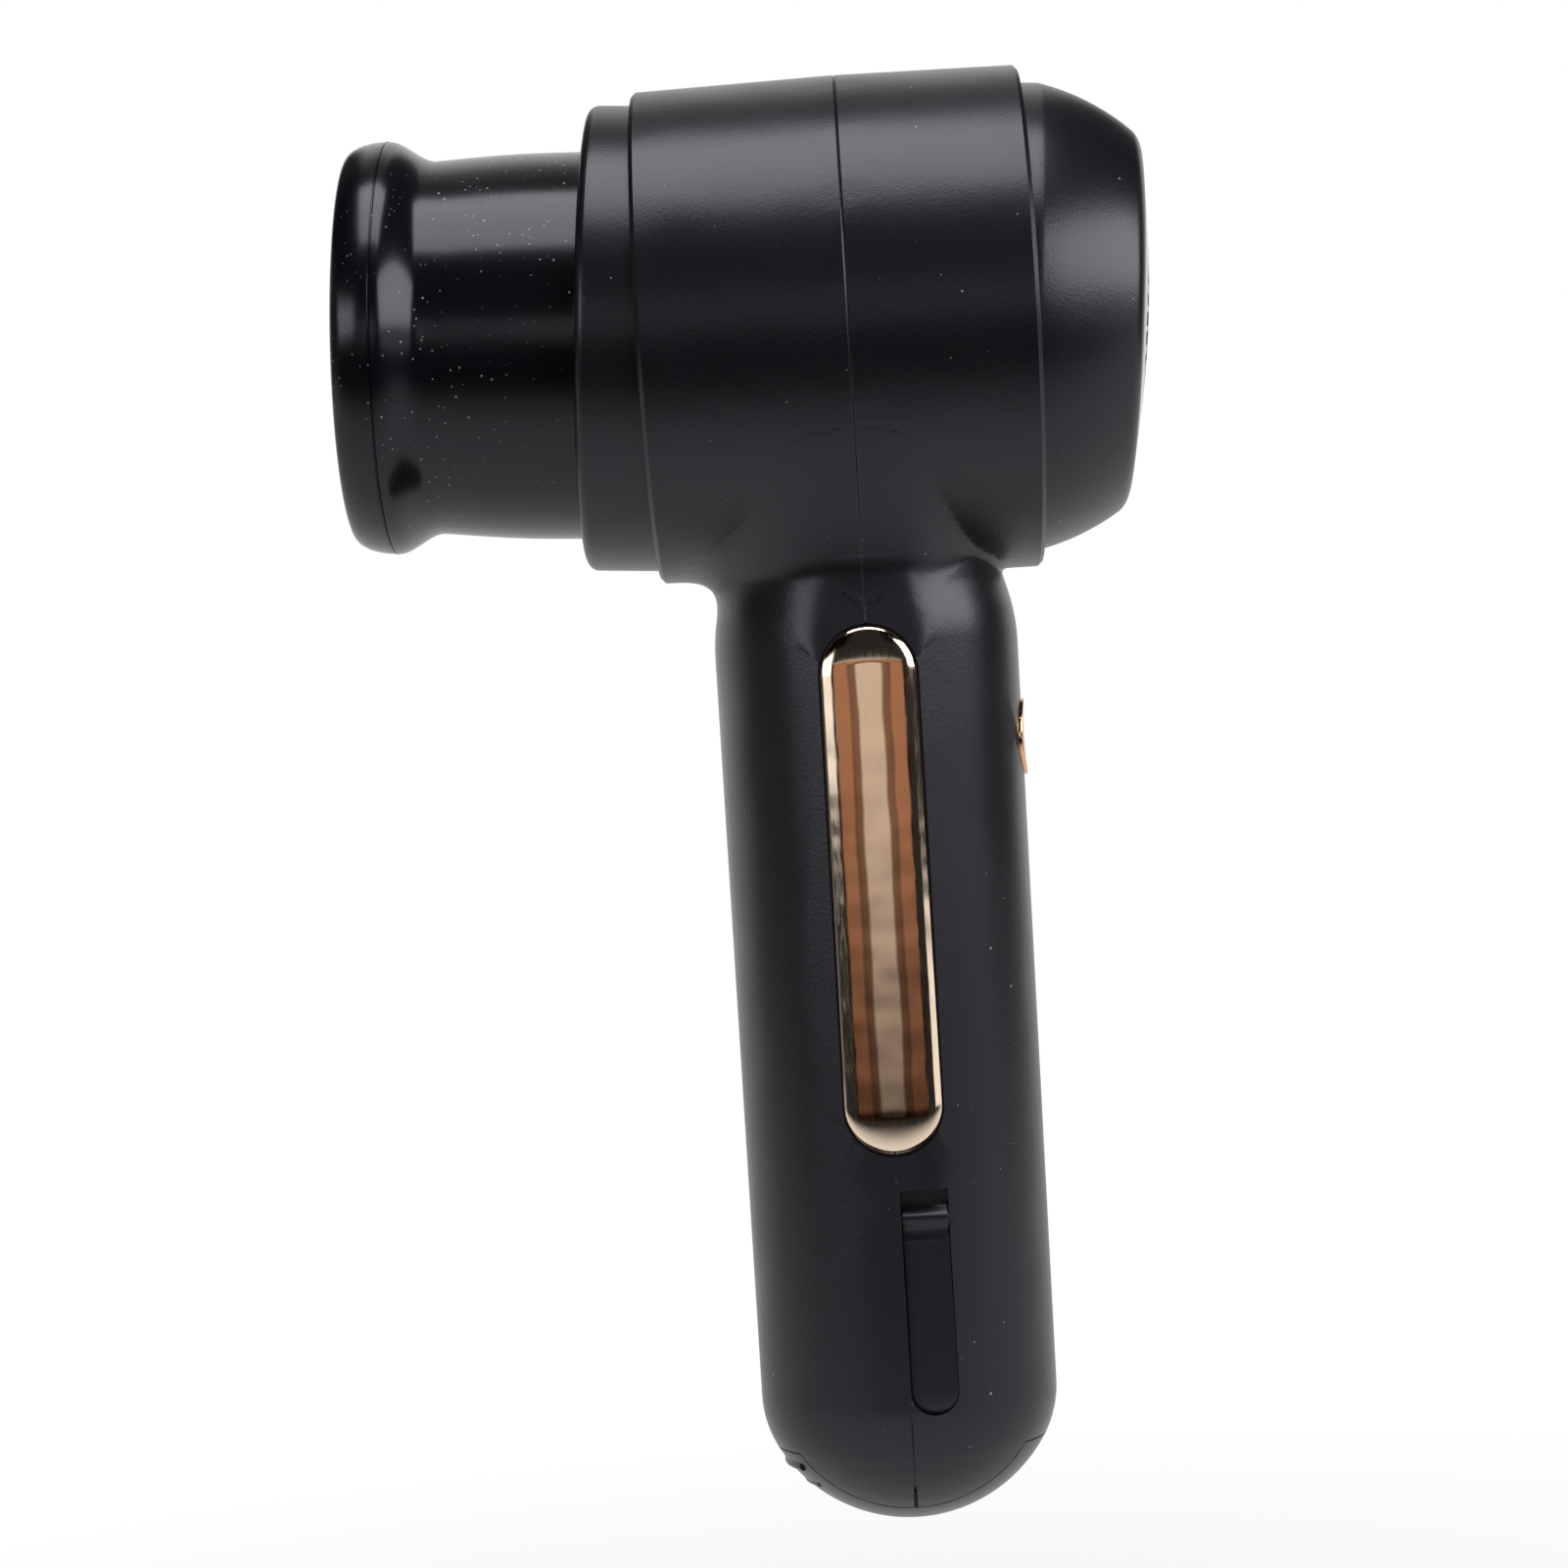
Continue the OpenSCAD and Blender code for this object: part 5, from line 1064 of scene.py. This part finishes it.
lifted = put("GeometryNodeSetPosition", {"Geometry": spots.outputs[0], "Position": vector(ribs_tree, 0.0, 0.0, rise)})
half_turn = calc("ARCSINE", calc("DIVIDE", given["Reach"], RIB_BEND_R))
path = put("GeometryNodeCurveArc", {"Resolution": 40, "Radius": 1.0, "Sweep Angle": calc("MULTIPLY", half_turn, 2.0),
                                    "Start Angle": calc("SUBTRACT", pi, half_turn)})
placed = put("GeometryNodeInstanceOnPoints", {"Points": lifted.outputs[0], "Instance": path.outputs[0],
                                              "Scale": vector(ribs_tree, radius, radius, 1.0)})
real_paths = put("GeometryNodeRealizeInstances", {"Geometry": placed.outputs[0]})
circle = put("GeometryNodeCurvePrimitiveCircle", {"Resolution": 16, "Radius": given["Rib Radius"]})
bars = put("GeometryNodeCurveToMesh", {"Curve": real_paths.outputs[0], "Profile Curve": circle.outputs[0],
                                       "Fill Caps": True})
close_tree(ribs_tree, given, bars.outputs[0])
print("tree ready:", ribs_tree.name)

# %% Bottom cap
WALL, HALF_WIDTH, BAND_RISE, LEG_LOW, LEG_TOP = 2.0, 10.8, 11.2, -68.0, -61.6
bottom_z, end_rise, end_r, corner_r = -76.4, 18.5, 21.2, 15.0
round_r = ((end_r - corner_r) ** 2 + end_rise ** 2 - corner_r ** 2) / (2 * (end_rise - corner_r))
round_turn = degrees(atan2(end_rise - round_r, end_r - corner_r))


def end_profile(inset, steps):
    """The round end's outline in radius and height, moved inwards."""
    return (arc(0, bottom_z + round_r, round_r - inset, -90, round_turn, steps)[1:]
            + arc(end_r - corner_r, bottom_z + end_rise, corner_r - inset, round_turn, -10, steps)[1:])


band_profile = ([(0.001, bottom_z)] + end_profile(0, 24) + end_profile(WALL, 24)[::-1]
                + [(0.001, bottom_z + WALL)])
band_mesh = turned("band", band_profile)
for point, normal in (((0, HALF_WIDTH, 0), (0, 1, 0)), ((0, -HALF_WIDTH, 0), (0, -1, 0)),
                      ((0, 0, bottom_z + BAND_RISE), (0, 0, 1))):
    cut_off(band_mesh, point, normal)
legs = [block("leg", (x, -5, LEG_LOW), (x + 1.5, 5, LEG_TOP), 0.2) for x in (14.6, -16.1)]
ribs = grown("ribs", ribs_tree, place=Matrix.Translation((0, 0, bottom_z * MM)), finish=FINISHES["soft_black"],
             count=3, first_rise=4 * MM, pitch=2.6 * MM, rib_radius=0.7 * MM, reach=9.2 * MM,
             corner_radius=corner_r * MM, core_radius=(end_r - corner_r) * MM, end_rise=end_rise * MM)
piece_from(joined("bottom_cap_band", [band_mesh, ribs] + legs), "bottom_cap", 40)

# %% [markdown]
# ## Fan wheel and spinner
# The fan is machined from aluminium on a five-axis mill: a thin hub that the motor's can fits into, and
# eleven blades of even pitch. Each section of a blade is turned a little more than the one behind, and
# the blade is thinner at its leading and trailing edges. One rule builds a blade from its pitch and
# sizes and sets eleven of them round the hub. A turned nose in front parts the air.

# %% Fan blades from a rule
blade_tree, given, put, calc = new_tree("twisted_blades", ["Inner Radius", "Outer Radius", "Thickness", "Length",
                                                           "Twist"])
span = calc("SUBTRACT", given["Outer Radius"], given["Inner Radius"])
slab = put("GeometryNodeMeshCube", {"Size": vector(blade_tree, span, given["Thickness"], given["Length"]),
                                    "Vertices X": 7, "Vertices Y": 3, "Vertices Z": 27})
spot = put("ShaderNodeSeparateXYZ", {0: put("GeometryNodeInputPosition").outputs[0]}).outputs
share = calc("ADD", calc("DIVIDE", spot["Z"], given["Length"]), 0.5)
full = calc("POWER", calc("SINE", calc("MULTIPLY_ADD", share, 3.0, 0.07)), 0.6)
middle = calc("ADD", calc("MULTIPLY", span, 0.5), given["Inner Radius"])
straight = vector(blade_tree, calc("ADD", spot["X"], middle), calc("MULTIPLY", spot["Y"], full),
                  calc("MULTIPLY", share, given["Length"]))
twisted = put("ShaderNodeVectorRotate", {"Vector": straight, "Angle": calc("MULTIPLY", share, given["Twist"])},
              rotation_type="Z_AXIS")
blade = put("GeometryNodeSetPosition", {"Geometry": slab.outputs[0], "Position": twisted.outputs[0]})
close_tree(blade_tree, given, spread_round(blade_tree, blade.outputs[0], given["Count"], 0.0))
print("tree ready:", blade_tree.name)

# %% Fan wheel
WHEEL_X, HUB_R, HUB_LEN = 0.35, 14.0, 15.0
hub_profile = [(1.52, 0.0), (HUB_R - 0.15, 0.0), (HUB_R, 0.15), (HUB_R, HUB_LEN), (12.4, HUB_LEN), (12.4, 3.8),
               (12.2, 3.6), (5.0, 3.6), (5.0, 10.9), (4.9, 11.0), (1.52, 11.0)]
blades = grown("blades", blade_tree, place=Matrix.Translation((0, 0, MM)), finish=FINISHES["impeller_aluminium"],
               count=11, twist=radians(-46), thickness=1.1 * MM, length=13 * MM, inner_radius=13.6 * MM,
               outer_radius=26.3 * MM)
wheel_mesh = joined("machined_fan_wheel", [turned("hub", hub_profile), blades])
wheel_mesh.transform(BARREL @ Matrix.Translation((0, 0, WHEEL_X * MM)))
piece_from(wheel_mesh, "impeller", 40)

# %% Spinner
NOSE_LEN, HOLLOW_R, HOLLOW_LEN = 8.0, 12.8, 6.8
nose = [(HUB_R * cos(radians(3 * i)), NOSE_LEN * sin(radians(3 * i))) for i in range(30)]
nose.append((0.001, NOSE_LEN))
hollow = [(HOLLOW_R * r / HUB_R, HOLLOW_LEN * z / NOSE_LEN) for r, z in nose[::-1] if z > 1.25]
spigot = [(11.2, 1.0), (11.2, -1.9), (11.3, -2.0), (12.15, -2.0), (12.25, -1.9), (12.25, 0.0)]
spinner_place = BARREL @ Matrix.Translation((0, 0, (WHEEL_X + HUB_LEN) * MM))
piece_from(turned("turned_spinner", nose + hollow + spigot, spinner_place, 120), "spinner", 35)

# %% [markdown]
# ## Stator windings
# Nine coils of enamelled copper sit on the motor's nine teeth. A coil is wire wound round a tooth in
# turns that lie side by side, so the rule sweeps a round wire along a rounded rectangle and repeats the
# turn outwards along the tooth, then sets the coils round the axis.

# %% Windings from a rule
coil_tree, given, put, calc = new_tree("wound_coils", ["Wire", "Width", "Height", "Start Radius", "Pitch"],
                                       ["Turns", "Count"])
turn = put("GeometryNodeCurvePrimitiveQuadrilateral", {"Width": given["Width"], "Height": given["Height"]})
rounded = put("GeometryNodeFilletCurve", {"Curve": turn.outputs[0], "Radius": given["Wire"], "Count": 4}, mode="POLY")
upright = put("GeometryNodeTransform", {"Geometry": rounded.outputs[0], "Rotation": (pi / 2, 0, pi / 2)})
wire = put("GeometryNodeCurvePrimitiveCircle", {"Resolution": 8, "Radius": calc("MULTIPLY", given["Wire"], 0.5)})
loop = put("GeometryNodeCurveToMesh", {"Curve": upright.outputs[0], "Profile Curve": wire.outputs[0]})
places = put("GeometryNodeMeshLine", {"Count": given["Turns"], "Offset": vector(coil_tree, given["Pitch"]),
                                      "Start Location": vector(coil_tree, given["Start Radius"])})
turns = put("GeometryNodeInstanceOnPoints", {"Points": places.outputs[0], "Instance": loop.outputs[0]})
close_tree(coil_tree, given, spread_round(coil_tree, turns.outputs[0], given["Count"], 0.0))
print("tree ready:", coil_tree.name)

# %% Stator windings
CORE_X = -9.6
coils = grown("wound_stator_coils", coil_tree, place=BARREL @ Matrix.Translation((0, 0, CORE_X * MM)),
              finish=FINISHES["winding_copper"], wire=0.65 * MM, width=2.9 * MM, height=10.7 * MM, pitch=0.7 * MM,
              turns=4, count=9, start_radius=7.1 * MM)
piece_from(coils, "stator_windings", 60)

# %% [markdown]
# ## Hex socket screws
# The same kind of screw holds the motor mount and, in a longer size, the shell halves: a turned head
# with a small radius, a hexagonal socket pressed into it, and a shank. One rule cuts the socket. The
# motor's four screws then stand round an axis and the eight side screws on a grid, four to a side.

# %% Screws from a rule
def cut_socket(tree, given):
    """The screw given as geometry, with a hexagonal socket cut into its head at height 0."""
    hexagon = add(tree, "GeometryNodeMeshCylinder", {"Vertices": 6, "Radius": given["Socket Radius"],
                                                     "Depth": maths(tree, "MULTIPLY", given["Socket Depth"], 2.0)})
    cut = add(tree, "GeometryNodeMeshBoolean", operation="DIFFERENCE")
    tree.links.new(given["Geometry"], cut.inputs["Mesh 1"])
    tree.links.new(hexagon.outputs[0], cut.inputs["Mesh 2"])
    return cut.outputs[0]


SOCKET = ("Socket Radius", "Socket Depth")
ring_tree, given, put, _ = new_tree("screws_round_an_axis", [*SOCKET, "Ring Radius", "First Angle"])
outwards = put("GeometryNodeTransform", {"Geometry": cut_socket(ring_tree, given),
                                         "Translation": vector(ring_tree, given["Ring Radius"])})
close_tree(ring_tree, given, spread_round(ring_tree, outwards.outputs[0], given["Count"], given["First Angle"]))

grid_tree, given, put, _ = new_tree("screws_on_a_grid", [*SOCKET, "Across", "Along"], [])
spots = put("GeometryNodeMeshGrid", {"Size X": given["Across"], "Size Y": given["Along"], "Vertices X": 2,
                                     "Vertices Y": 2})
set_in = put("GeometryNodeInstanceOnPoints", {"Points": spots.outputs[0], "Instance": cut_socket(grid_tree, given)})
close_tree(grid_tree, given, set_in.outputs[0])
print("trees ready:", ring_tree.name, grid_tree.name)


def screw(head_r, head_t, length, shank_r=1.0):
    """A plain screw with its head's top at height 0 and its shank below."""
    return turned("screw", [(0.001, 0.0), (head_r - 0.3, 0.0), (head_r - 0.08, -0.08), (head_r, -0.3),
                            (head_r, -head_t), (shank_r, -head_t), (shank_r, -length + 0.4),
                            (shank_r - 0.3, -length), (0.001, -length)], steps=32)


# %% Motor and side screws
MOUNT_X, SEAT_Y, GRID_Z = -22.1, 19.1293, -9.1
sockets = {"socket_radius": 0.9 * MM, "socket_depth": 0.6 * MM, "finish": FINISHES["screw_steel"]}
facing_front = BARREL @ Matrix.Translation((0, 0, MOUNT_X * MM)) @ Matrix.Rotation(pi, 4, "X")
motor_set = grown("motor_mount_screws", ring_tree, screw(1.7, 1.0, 5.0), facing_front, count=4,
                  ring_radius=7.6 * MM, first_angle=pi / 4, **sockets)
piece_from(motor_set, "motor_screws", 35)
side_sets = []
for side in (-1, 1):
    outside = Matrix.Translation((0, side * SEAT_Y * MM, GRID_Z * MM)) @ Matrix.Rotation(-side * pi / 2, 4, "X")
    side_sets.append(grown("screws", grid_tree, screw(1.9, 1.0, 6.5), outside, across=8.6 * MM, along=18 * MM,
                           **sockets))
piece_from(joined("side_screws_set", side_sets), "side_screws", 35)
